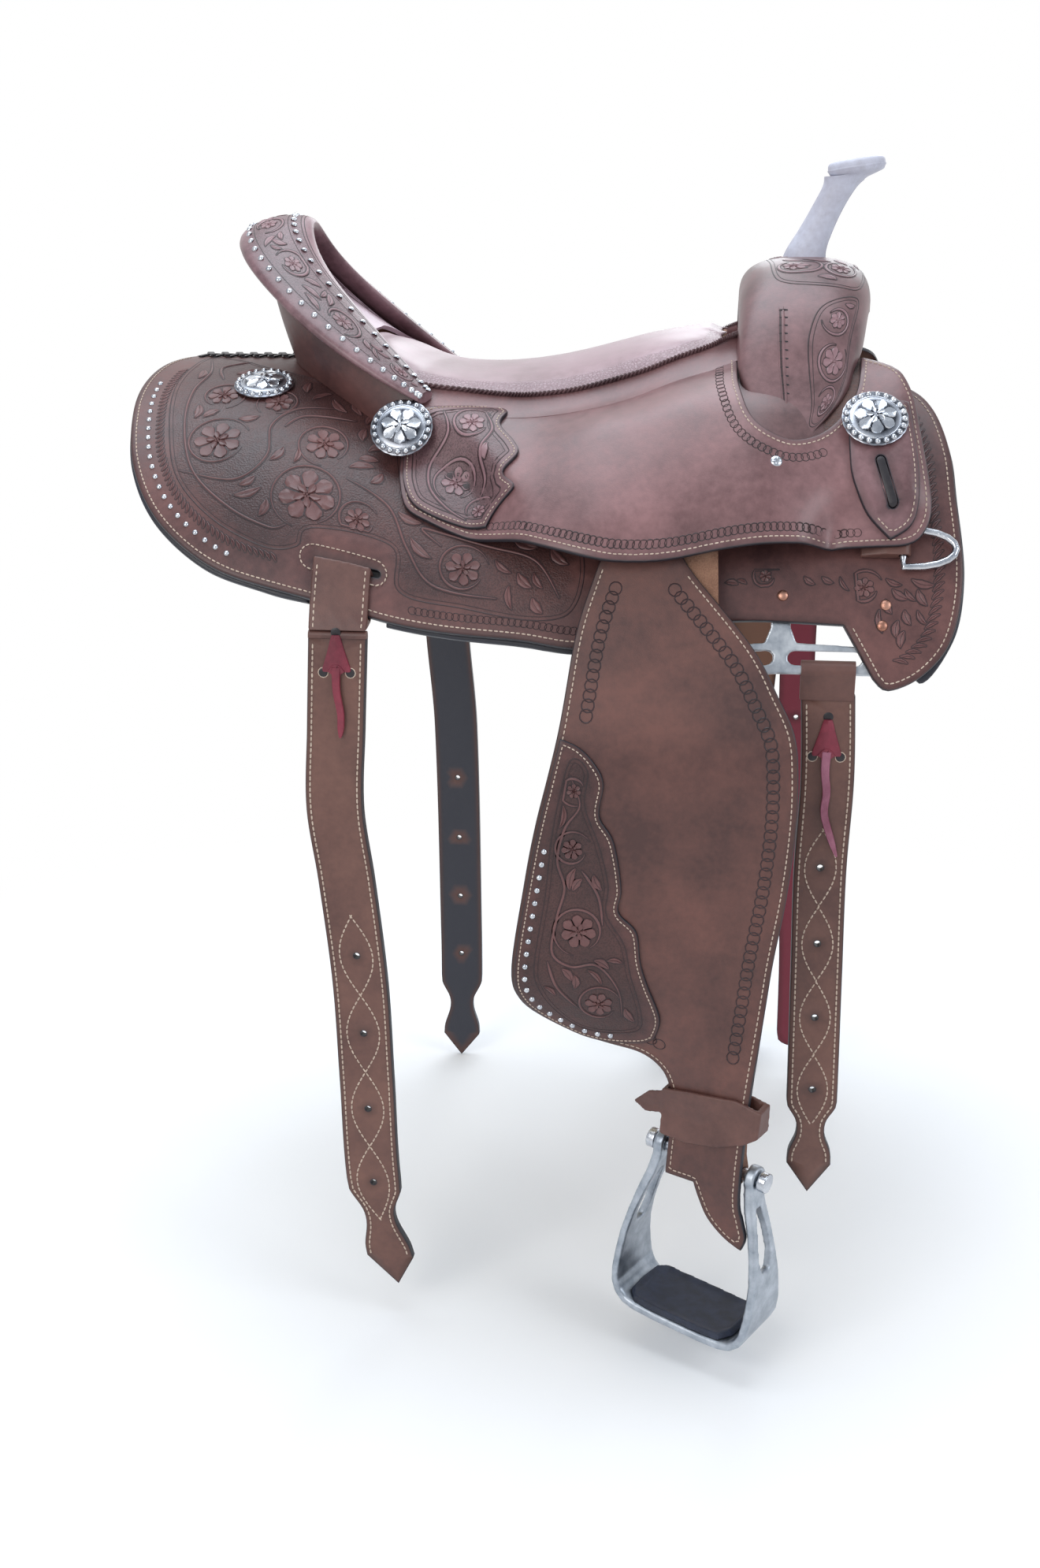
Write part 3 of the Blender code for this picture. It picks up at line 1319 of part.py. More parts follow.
def main():
    for obj in list(bpy.data.objects):
        bpy.data.objects.remove(obj)
    build_swell()
    build_horn()
    build_seat()
    build_cantle()
    for name, side in SIDES:
        build_skirts(name, side)
        build_plate(name, side)
        build_bar(name, side)
        build_jockey(name, side)
        build_conchos(name, side)
        build_dee(name, side)
        build_rear_billet(name, side)
        build_fender(name, side)
        build_stirrup(name, side)
    build_rigging_straps()


main()
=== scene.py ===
import json
from bisect import bisect
from math import sin, cos, radians, sqrt, pi, ceil, atan2, acos, hypot

import bpy
import bmesh
import numpy as np
from mathutils import Vector, Matrix, noise
from mathutils.geometry import delaunay_2d_cdt

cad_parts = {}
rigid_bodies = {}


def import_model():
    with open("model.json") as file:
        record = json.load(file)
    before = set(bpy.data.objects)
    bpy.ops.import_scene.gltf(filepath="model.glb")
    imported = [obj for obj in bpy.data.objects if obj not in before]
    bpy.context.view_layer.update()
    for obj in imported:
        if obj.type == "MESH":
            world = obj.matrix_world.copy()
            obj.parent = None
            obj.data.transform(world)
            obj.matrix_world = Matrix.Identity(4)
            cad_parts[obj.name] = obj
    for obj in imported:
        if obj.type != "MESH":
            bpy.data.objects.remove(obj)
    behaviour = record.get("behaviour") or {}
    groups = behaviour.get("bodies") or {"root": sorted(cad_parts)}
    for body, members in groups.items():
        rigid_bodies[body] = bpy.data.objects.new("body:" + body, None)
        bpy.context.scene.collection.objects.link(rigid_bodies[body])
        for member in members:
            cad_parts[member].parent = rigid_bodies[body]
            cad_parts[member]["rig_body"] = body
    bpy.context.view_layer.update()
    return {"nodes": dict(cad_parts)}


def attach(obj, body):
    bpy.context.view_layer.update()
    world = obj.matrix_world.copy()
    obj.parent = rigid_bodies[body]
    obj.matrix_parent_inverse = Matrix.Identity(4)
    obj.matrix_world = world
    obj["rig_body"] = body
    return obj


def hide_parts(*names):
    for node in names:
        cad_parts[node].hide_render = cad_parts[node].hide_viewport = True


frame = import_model()

MM = 0.001
SIDES = (("right", 1), ("left", -1))
LEATHER = "brown_leather"
BURGUNDY = "burgundy_leather"
STEEL = "stainless_steel"

# Sizes of the frame's layers, in millimetres, and angles in radians

HALF_GIRTH = 290
SKIRT_THICK = 8
BAR_THICK = 24
BAR_EDGE_THICK = 7
JOCKEY_THICK = 4
OVERLAY_THICK = 2.5
TAB_THICK = 4
FLEECE_THICK = 8
LAYER_GAP = 0.9
PAD_RISE = 12
GIRTH_STEP = 34
PIVOT = (115, 222.3, -72)
FENDER_TILT = radians(22)
FLAT_RUN = 181
BEND_RADIUS = 180
PLY = 3.5
FENDER_THICK = 4.5
FENDER_OVERLAY_THICK = 3
NECK_X = 160
TWIST = {"right": radians(28.6), "left": radians(3)}
BOLT_DIP = radians(4.4)
TWIST_START = 410
BOLT_RUN = 584
BILLET_PLY = 4
REAR_HINGE = (273, -192)
SEAT_HALF = 125
CANTLE_END_X = -105
CANTLE_END_Z = -8
CANTLE_HALF = 148
CANTLE_REACH = 159
CANTLE_RISE = 140
ROLL_HALF_WIDTH = 34
ROLL_HALF_THICK = 12
CONCHO_GAP = 0.9
PATCH_GAP = 0.6

# Sizes of what the scene alone adds

REAR_BILLET_WIDTH = 49
OFF_BILLET_WIDTH = 44
LATIGO_WIDTH = 38
STRAP_HALF = BILLET_PLY + 0.2
STRAP_HOLE = 2.7
PEBBLE_BAND = 20
PEBBLE_REAR = -120
DISC_SIDES = 84
BEADS = 21
BEAD_RING = 23.6
ENGRAVED = 19
ROLL_RUN = 235
FLOOR_Z = -0.8345


def ease(t):
    t = min(max(t, 0.0), 1.0)
    return t * t * (3 - 2 * t)


def glide(t):
    t = min(max(t, 0.0), 1.0)
    return 2 * t * t if t < 0.5 else 1 - 2 * (1 - t) ** 2


def mix(a, b, t):
    return a + (b - a) * t


def piecewise(points, x):
    if x <= points[0][0]:
        return points[0][1]
    for (x0, v0), (x1, v1) in zip(points, points[1:]):
        if x <= x1:
            return mix(v0, v1, (x - x0) / (x1 - x0))
    return points[-1][1]


def hermite(a, b, m, n, t):
    """Cubic from a to b with the slopes m and n at its ends."""
    return (a * (2 * t ** 3 - 3 * t ** 2 + 1) + m * (t ** 3 - 2 * t ** 2 + t)
            + b * (3 * t ** 2 - 2 * t ** 3) + n * (t ** 3 - t ** 2))


def curved(values, place):
    """Smooth curve through evenly spaced values, numbers or vectors."""
    place = min(max(place, 0), len(values) - 1)
    k = min(int(place), len(values) - 2)
    f = place - k
    p0, p1, p2, p3 = (values[min(max(k + d, 0), len(values) - 1)] for d in (-1, 0, 1, 2))
    return hermite(p1, p2, (p2 - p0) / 2, (p3 - p1) / 2, f)


def angles(count):
    """Evenly spaced angles round a full turn."""
    return [2 * pi * k / count for k in range(count)]


def heading(a):
    return Vector((cos(a), sin(a)))


def vectors(rows):
    return [Vector(row) for row in rows]


def laid(surface, high, p, lift=0.0):
    """Point on the leather at the flat point p, lifted off it."""
    return surface(p.x, p.y, high(p.x, p.y) + lift)


def run_at(line, i):
    """Direction of a line at its point i."""
    return (line[min(i + 1, len(line) - 1)] - line[max(i - 1, 0)]).normalized()


# The body curve and the other surfaces that the leather follows

def section(x):
    if x < -20:
        t = glide((x + 260) / 240)
        return mix(9, -25, t), mix(330, 305, t)
    t = glide((x + 20) / 220)
    return mix(-25, 34, t), mix(305, 483, t)


ARCS = {}


def angle_at(x, girth):
    key = round(x)
    if key not in ARCS:
        drop = section(key)[1]
        marks = [0.0]
        for degree in range(120):
            mid = radians(degree + 0.5)
            pace = sqrt((HALF_GIRTH * cos(mid)) ** 2 + (drop * sin(mid)) ** 2)
            marks.append(marks[-1] + pace * radians(1))
        ARCS[key] = marks
    marks = ARCS[key]
    i = min(max(bisect(marks, girth) - 1, 0), len(marks) - 2)
    return radians(i + (girth - marks[i]) / (marks[i + 1] - marks[i]))


def body_point(x, girth, lift):
    ridge, drop = section(x)
    angle = angle_at(x, girth)
    across, up = drop * sin(angle), HALF_GIRTH * cos(angle)
    size = hypot(across, up)
    return Vector((x, -(HALF_GIRTH * sin(angle) + across / size * lift),
                   ridge - drop * (1 - cos(angle)) + up / size * lift))


def lifted_height(x, y, lift):
    before = body_point(x, 0, lift)
    girth = 4
    while True:
        point = body_point(x, girth, lift)
        if -point.y >= abs(y):
            t = (abs(y) + before.y) / (before.y - point.y)
            return mix(before.z, point.z, t)
        before = point
        girth += 4


def hang_point(x, run, lift, twist):
    """Point on the hanging fender: flat, bent to the vertical, then turned and dipped to meet the bolt."""
    origin = Vector((PIVOT[0], -PIVOT[1], PIVOT[2]))
    down = Vector((0, -sin(FENDER_TILT), -cos(FENDER_TILT)))
    out = Vector((0, -cos(FENDER_TILT), sin(FENDER_TILT)))
    lean = ease((run - TWIST_START) / (BOLT_RUN - 25 - TWIST_START))
    across = x - NECK_X
    run += across * sin(BOLT_DIP) * lean
    if run <= FLAT_RUN:
        base, level = origin + down * run, out
    else:
        centre = origin + down * FLAT_RUN - out * BEND_RADIUS
        turn = min((run - FLAT_RUN) / BEND_RADIUS, FENDER_TILT)
        tilt = FENDER_TILT - turn
        level = Vector((0, -cos(tilt), sin(tilt)))
        fall = Vector((0, -sin(tilt), -cos(tilt)))
        base = centre + level * BEND_RADIUS + fall * max(run - FLAT_RUN - BEND_RADIUS * FENDER_TILT, 0)
    if lean == 0:
        point = base + level * lift
        return Vector((x, point.y, point.z))
    turn = twist * lean
    return Vector((NECK_X + across * cos(turn) - lift * sin(turn),
                   base.y - across * sin(turn) - lift * cos(turn), base.z))


def hanging(name):
    return lambda x, run, lift: hang_point(x, run, lift, TWIST[name])


BAR_EDGE = [(-150, 98), (-100, 104), (-60, 128), (-20, 170), (20, 216), (50, 248), (175, 248), (240, 206)]


def bar_edge(x):
    return piecewise(BAR_EDGE, x)


def bar_thick(girth):
    return piecewise([(2 * GIRTH_STEP, BAR_EDGE_THICK), (4 * GIRTH_STEP, BAR_THICK)], girth)


DEE_LIFT = 14.98


def jockey_low(x, girth):
    over_bar = ease((bar_edge(x) + GIRTH_STEP + 40 - girth) / 40) * ease((345 - x) / 50)
    over_fender = ease((x + 62) / 60) * ease((258 - x) / 45)
    over_dee = ease((x - 225) / 30) * ease((girth - 190) / 30)
    rest = SKIRT_THICK + LAYER_GAP
    high = rest + bar_thick(girth) + LAYER_GAP
    near_pad = ease(1 - (abs(x - PIVOT[0]) - 60) / 90) * ease((girth - 120) / 60) * ease((345 - girth) / 90)
    raised = over_bar + over_fender - over_bar * over_fender
    lift = mix(rest, high + (PAD_RISE + 4.5) * near_pad, raised)
    dee = mix(rest, DEE_LIFT + 7, over_dee)
    return (lift + dee + sqrt((lift - dee) ** 2 + (6 * over_dee) ** 2)) / 2


def jockey_high(x, girth):
    return jockey_low(x, girth) + JOCKEY_THICK


def over_jockey(more):
    return lambda x, girth: jockey_high(x, girth) + LAYER_GAP + more


def fender_low(x, run):
    return PLY + LAYER_GAP + piecewise([(34, 3), (68, 0), (546, 0), (572, 5), (598, 8.6)], run)


def fender_high(x, run):
    return fender_low(x, run) + FENDER_THICK


def patch_high(x, run):
    return fender_high(x, run) + PATCH_GAP + FENDER_OVERLAY_THICK


def skirt_high(x, girth):
    return SKIRT_THICK


SEAT_CREST = [(-186, 58), (-165, 40), (-140, 25), (-100, 13.5), (-60, 11.5), (-19, 15.4), (12, 20.6),
              (43, 28.6), (84, 39.4), (110, 44), (140, 44), (170, 44)]
SEAT_EDGE = [(-186, 54), (-131, 10), (-110, 2), (-69, -3), (-37, -6), (-11, -6), (21, -2), (53, 6),
             (83, 15), (111, 26), (137, 35), (152, 42), (170, 43)]


def seat_height(x, y):
    return mix(piecewise(SEAT_CREST, x), piecewise(SEAT_EDGE, x), (y / SEAT_HALF) ** 2)


def cantle_point(t):
    """Middle line of the cantle roll; t runs from -1 at the right end to 1 at the left."""
    y = CANTLE_HALF * sin(t * pi / 2)
    share = abs(sin(t * pi / 2))
    return Vector((CANTLE_END_X - CANTLE_REACH * (1 - share ** 2.4), y,
                   CANTLE_END_Z + CANTLE_RISE * (1 - share ** 1.8)))


def cantle_out(t):
    run = cantle_point(min(t + 0.01, 1)) - cantle_point(max(t - 0.01, -1))
    return Vector((-run.y, run.x, 0)).normalized()


def roll_scale(t):
    return mix(1, 0.36, ease((abs(t) - 0.45) / 0.55))


def roll_point(t, a, grow=0):
    """Point of the roll's skin at t, at an angle a round it; a = 90 degrees is the top."""
    size = roll_scale(t)
    r = (ROLL_HALF_WIDTH * size + grow) * cos(a)
    h = (ROLL_HALF_THICK * size + grow) * sin(a) - r * 0.16
    return cantle_point(t) + cantle_out(t) * r + Vector((0, 0, h))


def dish_point(t, v):
    """Front face of the cantle: from the seat's rear edge up to the underside of the roll."""
    a = t * pi / 2
    foot_y = 119 * sin(a)
    foot_x = -138 - 51 * (1 - abs(sin(a)) ** 2.2)
    foot = Vector((foot_x, foot_y, seat_height(foot_x, foot_y) - 4))
    size = roll_scale(t)
    head = cantle_point(t) - cantle_out(t) * 20 * size + Vector((0, 0, -ROLL_HALF_THICK * size * 0.82 - 0.7))
    return foot.lerp(head, v) + cantle_out(t) * 7 * sin(pi * v) * size


SWELL_OUTER = vectors(((0, 108), (30, 107), (62, 102), (95, 88), (122, 68), (143, 44), (160, 18),
                       (177, -8), (193, -30)))
SWELL_ARCH = [(0, 70), (24, 68), (48, 62), (72, 58.5)]
SWELL_REAR = [161, 161, 161, 161, 161, 162, 166, 178, 190]
SWELL_FRONT = [276, 276, 276, 273, 266, 259, 254, 243, 225]


def swell_foot(k):
    if k < len(SWELL_ARCH):
        return Vector(SWELL_ARCH[k])
    y = SWELL_OUTER[k][0] - 2
    return Vector((y, lifted_height(200, y, SKIRT_THICK + 2 * LAYER_GAP + BAR_THICK + 0.4)))


SWELL_FEET = [swell_foot(k) for k in range(len(SWELL_OUTER))]


def swell_point(n, a, grow=0.0):
    """Point of the swell's skin: n runs from -8 to 8, foot to foot, and a from the front to pi behind."""
    sign = -1 if n < 0 else 1
    outer, inner, rear, front = (
        curved(values, abs(n)) for values in (SWELL_OUTER, SWELL_FEET, SWELL_REAR, SWELL_FRONT))
    up = (outer - inner).normalized()
    height = (outer - inner).length + grow
    rear, front = rear - grow, front + grow
    middle, half = (rear + front) / 2, (front - rear) / 2
    reach = half * abs(cos(a)) ** 0.75 * (1 if cos(a) >= 0 else -1)
    top = inner + up * (height * max(sin(a), 0) ** 0.62)
    return Vector((middle + reach, sign * top.x, top.y))


# Outlines, as (station, distance down) on the body curve or on the hanging fender

SKIRT = [
    (-352, 1.5, 1), (-366, 45), (-372, 98), (-369, 146), (-355, 207), (-326, 260), (-278, 300),
    (-224, 318), (-134, 327), (-22, 329), (30, 338), (90, 348), (116, 352, 1),
    (138, 339, 1), (254, 343, 1), (279, 386, 1), (292, 395), (319, 382), (341, 352), (349, 300),
    (343, 232), (339, 191), (327, 148), (307, 122), (265, 100, 1), (190, 78), (100, 62), (20, 52),
    (-60, 34), (-130, 1.5, 1)]
FLEECE = [
    (-352, 1.5, 1), (-368, 45), (-374, 98), (-371, 147), (-357, 209), (-328, 262), (-279, 303),
    (-224, 321), (-188, 325, 1), (-186, 278, 1), (-124, 278, 1), (-122, 330, 1), (-22, 332), (30, 341),
    (76, 348), (104, 350, 1), (110, 298, 1), (306, 298, 1), (315, 386), (343, 353), (351, 300),
    (345, 232), (341, 190), (329, 146), (308, 119), (265, 97, 1), (190, 76), (100, 60), (20, 50),
    (-60, 32), (-130, 1.5, 1)]
JOCKEY = [
    (265, 113, 1), (291, 128), (306, 154), (312, 186), (317, 216), (321, 250), (316, 270), (303, 281),
    (271, 284), (207, 288), (162, 291), (116, 293), (79, 288), (43, 279), (-22, 256), (-63, 245),
    (-90, 236), (-112, 226), (-120, 204), (-123, 182), (-123, 140), (-123, 96, 1), (-70, 96),
    (20, 96), (100, 90), (146, 84, 1), (160, 106), (163, 155), (175, 191), (200, 207), (223, 203),
    (243, 187), (260, 157)]
JOCKEY_OVERLAY = [
    (-120, 178, 1), (-119, 150), (-80, 128), (-44, 118, 1), (-34, 130), (-38, 148), (-24, 168),
    (-19, 182), (-30, 200), (-19, 214), (-34, 226), (-42, 240, 1), (-62, 238), (-92, 230),
    (-108, 221), (-117, 202)]
TAB = [
    (253, 168, 1), (254, 212), (257, 236), (268, 258), (288, 279, 1), (304, 268), (310, 250),
    (309, 216), (302, 168, 1)]
FENDER = [
    (58, 58, 1), (51, 78), (38, 126), (27, 204), (9, 282), (-1, 338), (-11, 410), (-5, 444), (12, 467),
    (40, 485), (68, 490), (98, 493), (116, 504), (124, 519), (127, 540), (127, 602, 1), (155, 600, 1),
    (161, 614), (170, 629), (186, 641), (203, 647, 1), (207, 634), (203, 618), (199, 596), (199, 500),
    (206, 409), (216, 338), (221, 280), (221, 236), (217, 203), (203, 173), (181, 133), (132, 74),
    (122, 58, 1)]
FENDER_OVERLAY = [
    (29, 210, 1), (44, 216), (57, 228), (65, 244), (62, 271), (74, 293), (81, 333), (79, 354), (94, 371),
    (98, 398), (104, 418), (116, 451), (112, 473, 1), (100, 480), (68, 486), (42, 482), (15, 464),
    (-2, 442), (-8, 410), (2, 338), (12, 282)]
SEAT = [
    (-128, -118), (-60, -124), (0, -123), (60, -119), (110, -112), (149, -92, 1), (155, -60), (157, 0),
    (155, 60), (149, 92, 1), (110, 112), (60, 119), (0, 123), (-60, 124), (-128, 118), (-154, 92),
    (-172, 50), (-179, 0), (-172, -50), (-154, -92)]
REAR_MIDDLE = {
    "right": [(0, -160), (80, -164), (150, -167), (215, -159), (311, -149.5), (403, -146), (508, -142),
              (575, -130), (611, -121)],
    "left": [(0, -159), (107, -156), (220, -147), (480, -143), (560, -143), (641, -144)]}
OFF_MIDDLE = [(0, 243.5), (90, 247.5), (172, 245.5), (265, 247), (389, 249), (478, 249)]
LATIGO_MIDDLE = [(0, 241.5), (132, 241.5), (300, 247), (453, 255), (573, 257)]


def smooth_loop(points, spacing):
    """Closed outline through the points; a third item marks a sharp corner."""
    count = len(points)
    loop = []
    for i in range(count):
        start, end = points[i], points[(i + 1) % count]
        before = start if len(start) > 2 else points[i - 1]
        after = end if len(end) > 2 else points[(i + 2) % count]
        a, b, c, d = (Vector(p[:2]) for p in (before, start, end, after))
        steps = max(1, ceil((c - b).length / spacing))
        loop += [hermite(b, c, (c - a) / 2, (d - b) / 2, k / steps) for k in range(steps)]
    return loop


def slot_loop(cx, cy, half_length, half_width, turn=0, count=8):
    loop = []
    for sign in (1, -1):
        for k in range(count + 1):
            a = sign * pi / 2 - pi * k / count
            x, y = Vector((sign * (half_length - half_width) + half_width * cos(a), half_width * sin(a)))
            loop.append(Vector((cx + x * cos(turn) - y * sin(turn), cy + x * sin(turn) + y * cos(turn))))
    return loop


def flat_array(points):
    return np.array([(p[0], p[1]) for p in points], float)


def rim_distance(loops, points):
    """Distance from each point to the nearest line of the loops."""
    spots = flat_array(points)
    best = np.full(len(spots), 1e9)
    for loop in loops:
        ends = flat_array(loop)
        for a, b in zip(ends, np.roll(ends, -1, axis=0)):
            run = b - a
            t = np.clip(((spots - a) @ run) / max(run @ run, 1e-9), 0, 1)
            best = np.minimum(best, np.linalg.norm(spots - a - t[:, None] * run, axis=1))
    return best


def within(loop, points):
    """Whether each point lies inside the loop."""
    spots = flat_array(points)
    hit = np.zeros(len(spots), bool)
    ends = flat_array(loop)
    for a, b in zip(ends, np.roll(ends, -1, axis=0)):
        if a[1] == b[1]:
            continue
        cross = (a[1] > spots[:, 1]) != (b[1] > spots[:, 1])
        hit ^= cross & (spots[:, 0] < (b[0] - a[0]) * (spots[:, 1] - a[1]) / (b[1] - a[1]) + a[0])
    return hit


def inset_line(loop, depth):
    """The outline moved inwards by depth, without the stretches where it would cross itself."""
    area = sum(a.x * b.y - b.x * a.y for a, b in zip(loop, loop[1:] + loop[:1]))
    turn = 1 if area > 0 else -1
    moved = []
    for i, p in enumerate(loop):
        run = (loop[(i + 1) % len(loop)] - loop[i - 1]).normalized()
        moved.append(p + Vector((-run.y, run.x)) * turn * depth)
    far = rim_distance([loop], moved)
    kept = within(loop, moved) & (far > depth * 0.93)
    return [p for p, ok in zip(moved, kept) if ok]


# Meshes

def placed(name, data):
    """A new object in the scene."""
    obj = bpy.data.objects.new(name, data)
    bpy.context.scene.collection.objects.link(obj)
    return obj


def set_mark(mesh, mark, values):
    attribute = mesh.attributes.new(mark, "FLOAT", "POINT")
    attribute.data.foreach_set("value", np.asarray(values, np.float32))


def settle(obj):
    """The object's mesh with its modifiers applied."""
    depsgraph = bpy.context.evaluated_depsgraph_get()
    mesh = bpy.data.meshes.new_from_object(obj.evaluated_get(depsgraph))
    obj.modifiers.clear()
    obj.data = mesh


def remeshed(node, name, weld, voxel):
    """A copy of a node's shape as one even grid of faces."""
    mesh = frame["nodes"][node].data.copy()
    obj = placed(name, mesh)
    bm = bmesh.new()
    bm.from_mesh(mesh)
    bmesh.ops.remove_doubles(bm, verts=bm.verts, dist=weld)
    bm.to_mesh(mesh)
    bm.free()
    grid = obj.modifiers.new("grid", "REMESH")
    grid.mode = "VOXEL"
    grid.voxel_size = voxel
    return obj


def relaxed(obj, times):
    relax = obj.modifiers.new("relax", "SMOOTH")
    relax.iterations = times


def solid(name, verts, faces, mat, body, slot=LEATHER, side=1, stands_for=(), marks=None, sharp=50):
    """A finished piece from millimetre points; side -1 mirrors it to the left."""
    mesh = bpy.data.meshes.new(name)
    mesh.from_pydata([(v[0] * MM, v[1] * side * MM, v[2] * MM) for v in verts], [], faces)
    for mark, values in (marks or {}).items():
        set_mark(mesh, mark, values)
    bm = bmesh.new()
    bm.from_mesh(mesh)
    bmesh.ops.recalc_face_normals(bm, faces=bm.faces)
    bm.to_mesh(mesh)
    bm.free()
    mesh.shade_smooth()
    mesh.set_sharp_from_angle(angle=radians(sharp))
    mesh.materials.append(mat)
    obj = placed(name, mesh)
    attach(obj, body)
    if stands_for:
        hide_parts(*stands_for)
    return obj


def gather(parts):
    """One vertex and face list from several."""
    verts, faces = [], []
    for v, f in parts:
        first = len(verts)
        verts += v
        faces += [tuple(first + i for i in face) for face in f]
    return verts, faces


def merged(name, parts, mat, body="saddle", slot=LEATHER, side=1):
    """One finished piece from many small parts."""
    solid(name, *gather(parts), mat, body, slot, side)


def loft(rings, closed=False):
    size = len(rings[0])
    verts = [p for ring in rings for p in ring]
    faces = []
    for r in range(len(rings) if closed else len(rings) - 1):
        nxt = (r + 1) % len(rings)
        for i in range(size):
            j = (i + 1) % size
            faces.append((r * size + i, r * size + j, nxt * size + j, nxt * size + i))
    if not closed:
        faces.append(tuple(reversed(range(size))))
        faces.append(tuple(range(len(verts) - size, len(verts))))
    return verts, faces


def sheet(name, outline, surface, low, high, mat, body, side=1, holes=(), slot=LEATHER, stands_for=(),
          step=10, edge=1.3, tooled=None):
    """Sheet with a rounded upper edge; its marks tell the rim's distance, the underside and the tooling."""
    loops = [outline, *holes]
    points, edges = [], []
    for loop in loops:
        first = len(points)
        points += loop
        edges += [(first + i, first + (i + 1) % len(loop)) for i in range(len(loop))]
    for depth in (edge * 0.3, edge, 4.5):
        points += inset_line(outline, depth)
    xs, ys = [p.x for p in outline], [p.y for p in outline]
    grid = [Vector((min(xs) + i * step + (j % 2) * step / 2, min(ys) + j * step * 0.87))
            for i in range(int((max(xs) - min(xs)) / step) + 2)
            for j in range(int((max(ys) - min(ys)) / step / 0.87) + 2)]
    kept = within(outline, grid) & (rim_distance(loops, grid) > 4.5 + step * 0.35)
    for hole in holes:
        kept &= ~within(hole, grid)
    points += [p for p, ok in zip(grid, kept) if ok]
    flat, _, triangles, _, _, _ = delaunay_2d_cdt(points, edges, [list(range(len(outline)))], 1, 0.001)
    centres = [sum((flat[i] for i in tri), Vector((0, 0))) / 3 for tri in triangles]
    gone = np.zeros(len(triangles), bool)
    for hole in holes:
        gone |= within(hole, centres)
    triangles = [tuple(tri) for tri, cut in zip(triangles, gone) if not cut]
    used = sorted({i for tri in triangles for i in tri})
    index = {old: new for new, old in enumerate(used)}
    flat = [flat[i] for i in used]
    triangles = [tuple(index[i] for i in tri) for tri in triangles]
    rim = rim_distance(loops, flat)
    drop = [edge * (1 - sqrt(max(0.0, 1 - (1 - min(d / edge, 1)) ** 2))) for d in rim]
    verts = [surface(p.x, p.y, high(p.x, p.y) - down) for p, down in zip(flat, drop)]
    verts += [surface(p.x, p.y, low(p.x, p.y)) for p in flat]
    count = len(flat)
    border = set()
    for tri in triangles:
        border |= {(tri[i], tri[(i + 1) % 3]) for i in range(3)}
    faces = triangles + [tuple(count + i for i in reversed(tri)) for tri in triangles]
    faces += [(b, a, count + a, count + b) for a, b in border if (b, a) not in border]
    marks = {"rim": list(rim) * 2, "under": [0.0] * count + [min(d / 2.5, 1) for d in rim]}
    if tooled is not None:
        worked = within(tooled, flat) * np.clip(rim_distance([tooled], flat) / 2, 0, 1)
        marks["tooled"] = list(worked) + [0.0] * count
    return solid(name, verts, faces, mat, body, slot, side, stands_for, marks)


def spaced(line, gap, closed=False):
    """Points at an even gap along a line of flat points, with the direction there."""
    line = [Vector(p[:2]) for p in line]
    if closed:
        line = line + line[:1]
    found, left = [], 0.0
    for a, b in zip(line, line[1:]):
        length = (b - a).length
        if length < 1e-6:
            continue
        run = (b - a) / length
        at = left
        while at <= length:
            found.append((a + run * at, run))
            at += gap
        left = at - length
    return found


def lift_frame(surface, high, p, run):
    """Point on the leather at p, with the directions along run, across it and out of it."""
    here = laid(surface, high, p)
    along = (laid(surface, high, p + run) - here).normalized()
    across = (laid(surface, high, p + Vector((-run.y, run.x))) - here).normalized()
    out = along.cross(across).normalized()
    if out.dot(laid(surface, high, p, 1) - here) < 0:
        out = -out
    return here, along, across, out


def stitch_parts(line, surface, high, closed=False, pitch=5.0, thick=0.75, length=3.9):
    parts = []
    for p, run in spaced(line, pitch, closed):
        here, along, across, out = lift_frame(surface, high, p, run)
        rings = []
        for where, size in ((-0.5, 0.35), (-0.3, 0.95), (0.3, 0.95), (0.5, 0.35)):
            rings.append([here + along * length * where + across * thick * size * cos(pi * k / 2.5)
                          + out * thick * (0.15 + size * sin(pi * k / 2.5)) for k in range(5)])
        parts.append(loft(rings))
    return parts


def dome_parts(spots, radius, rise, sides=10, rows=((1, -0.25), (1, 0), (0.86, 0.5), (0.5, 0.87))):
    """Round nail heads at (point, out) places."""
    parts = []
    for here, out in spots:
        u = out.orthogonal().normalized()
        v = out.cross(u)
        verts = [here + (u * cos(a) + v * sin(a)) * radius * r + out * rise * h
                 for r, h in rows for a in angles(sides)]
        faces = [(low + k, low + (k + 1) % sides, low + sides + (k + 1) % sides, low + sides + k)
                 for low in range(0, (len(rows) - 1) * sides, sides) for k in range(sides)]
        top = len(verts)
        verts.append(here + out * rise)
        last = (len(rows) - 1) * sides
        faces += [(last + k, last + (k + 1) % sides, top) for k in range(sides)]
        faces.append(tuple(reversed(range(sides))))
        parts.append((verts, faces))
    return parts


def ring_parts(spots, radius, thick, surface, high, stretch=1.0, sides=12):
    """Stamped rings, half sunk in the leather, at flat places with a direction."""
    parts = []
    for p, run in spots:
        across = Vector((-run.y, run.x))
        rings = []
        for a in angles(sides):
            mid = p + (run * cos(a) * stretch + across * sin(a)) * radius
            way = (run * cos(a) + across * sin(a)).normalized()
            rings.append([laid(surface, high, mid + way * thick * q, h * thick * 0.6)
                          for q, h in ((-1, -0.4), (0, 1), (1, -0.4))])
        parts.append(loft(rings, True))
    return parts


# Materials

def tone(r, g, b):
    """Colour as written on screen, 0 to 255, turned into shader values."""
    values = [c / 255 for c in (r, g, b)]
    return tuple(c / 12.92 if c <= 0.04045 else ((c + 0.055) / 1.055) ** 2.4 for c in values) + (1,)


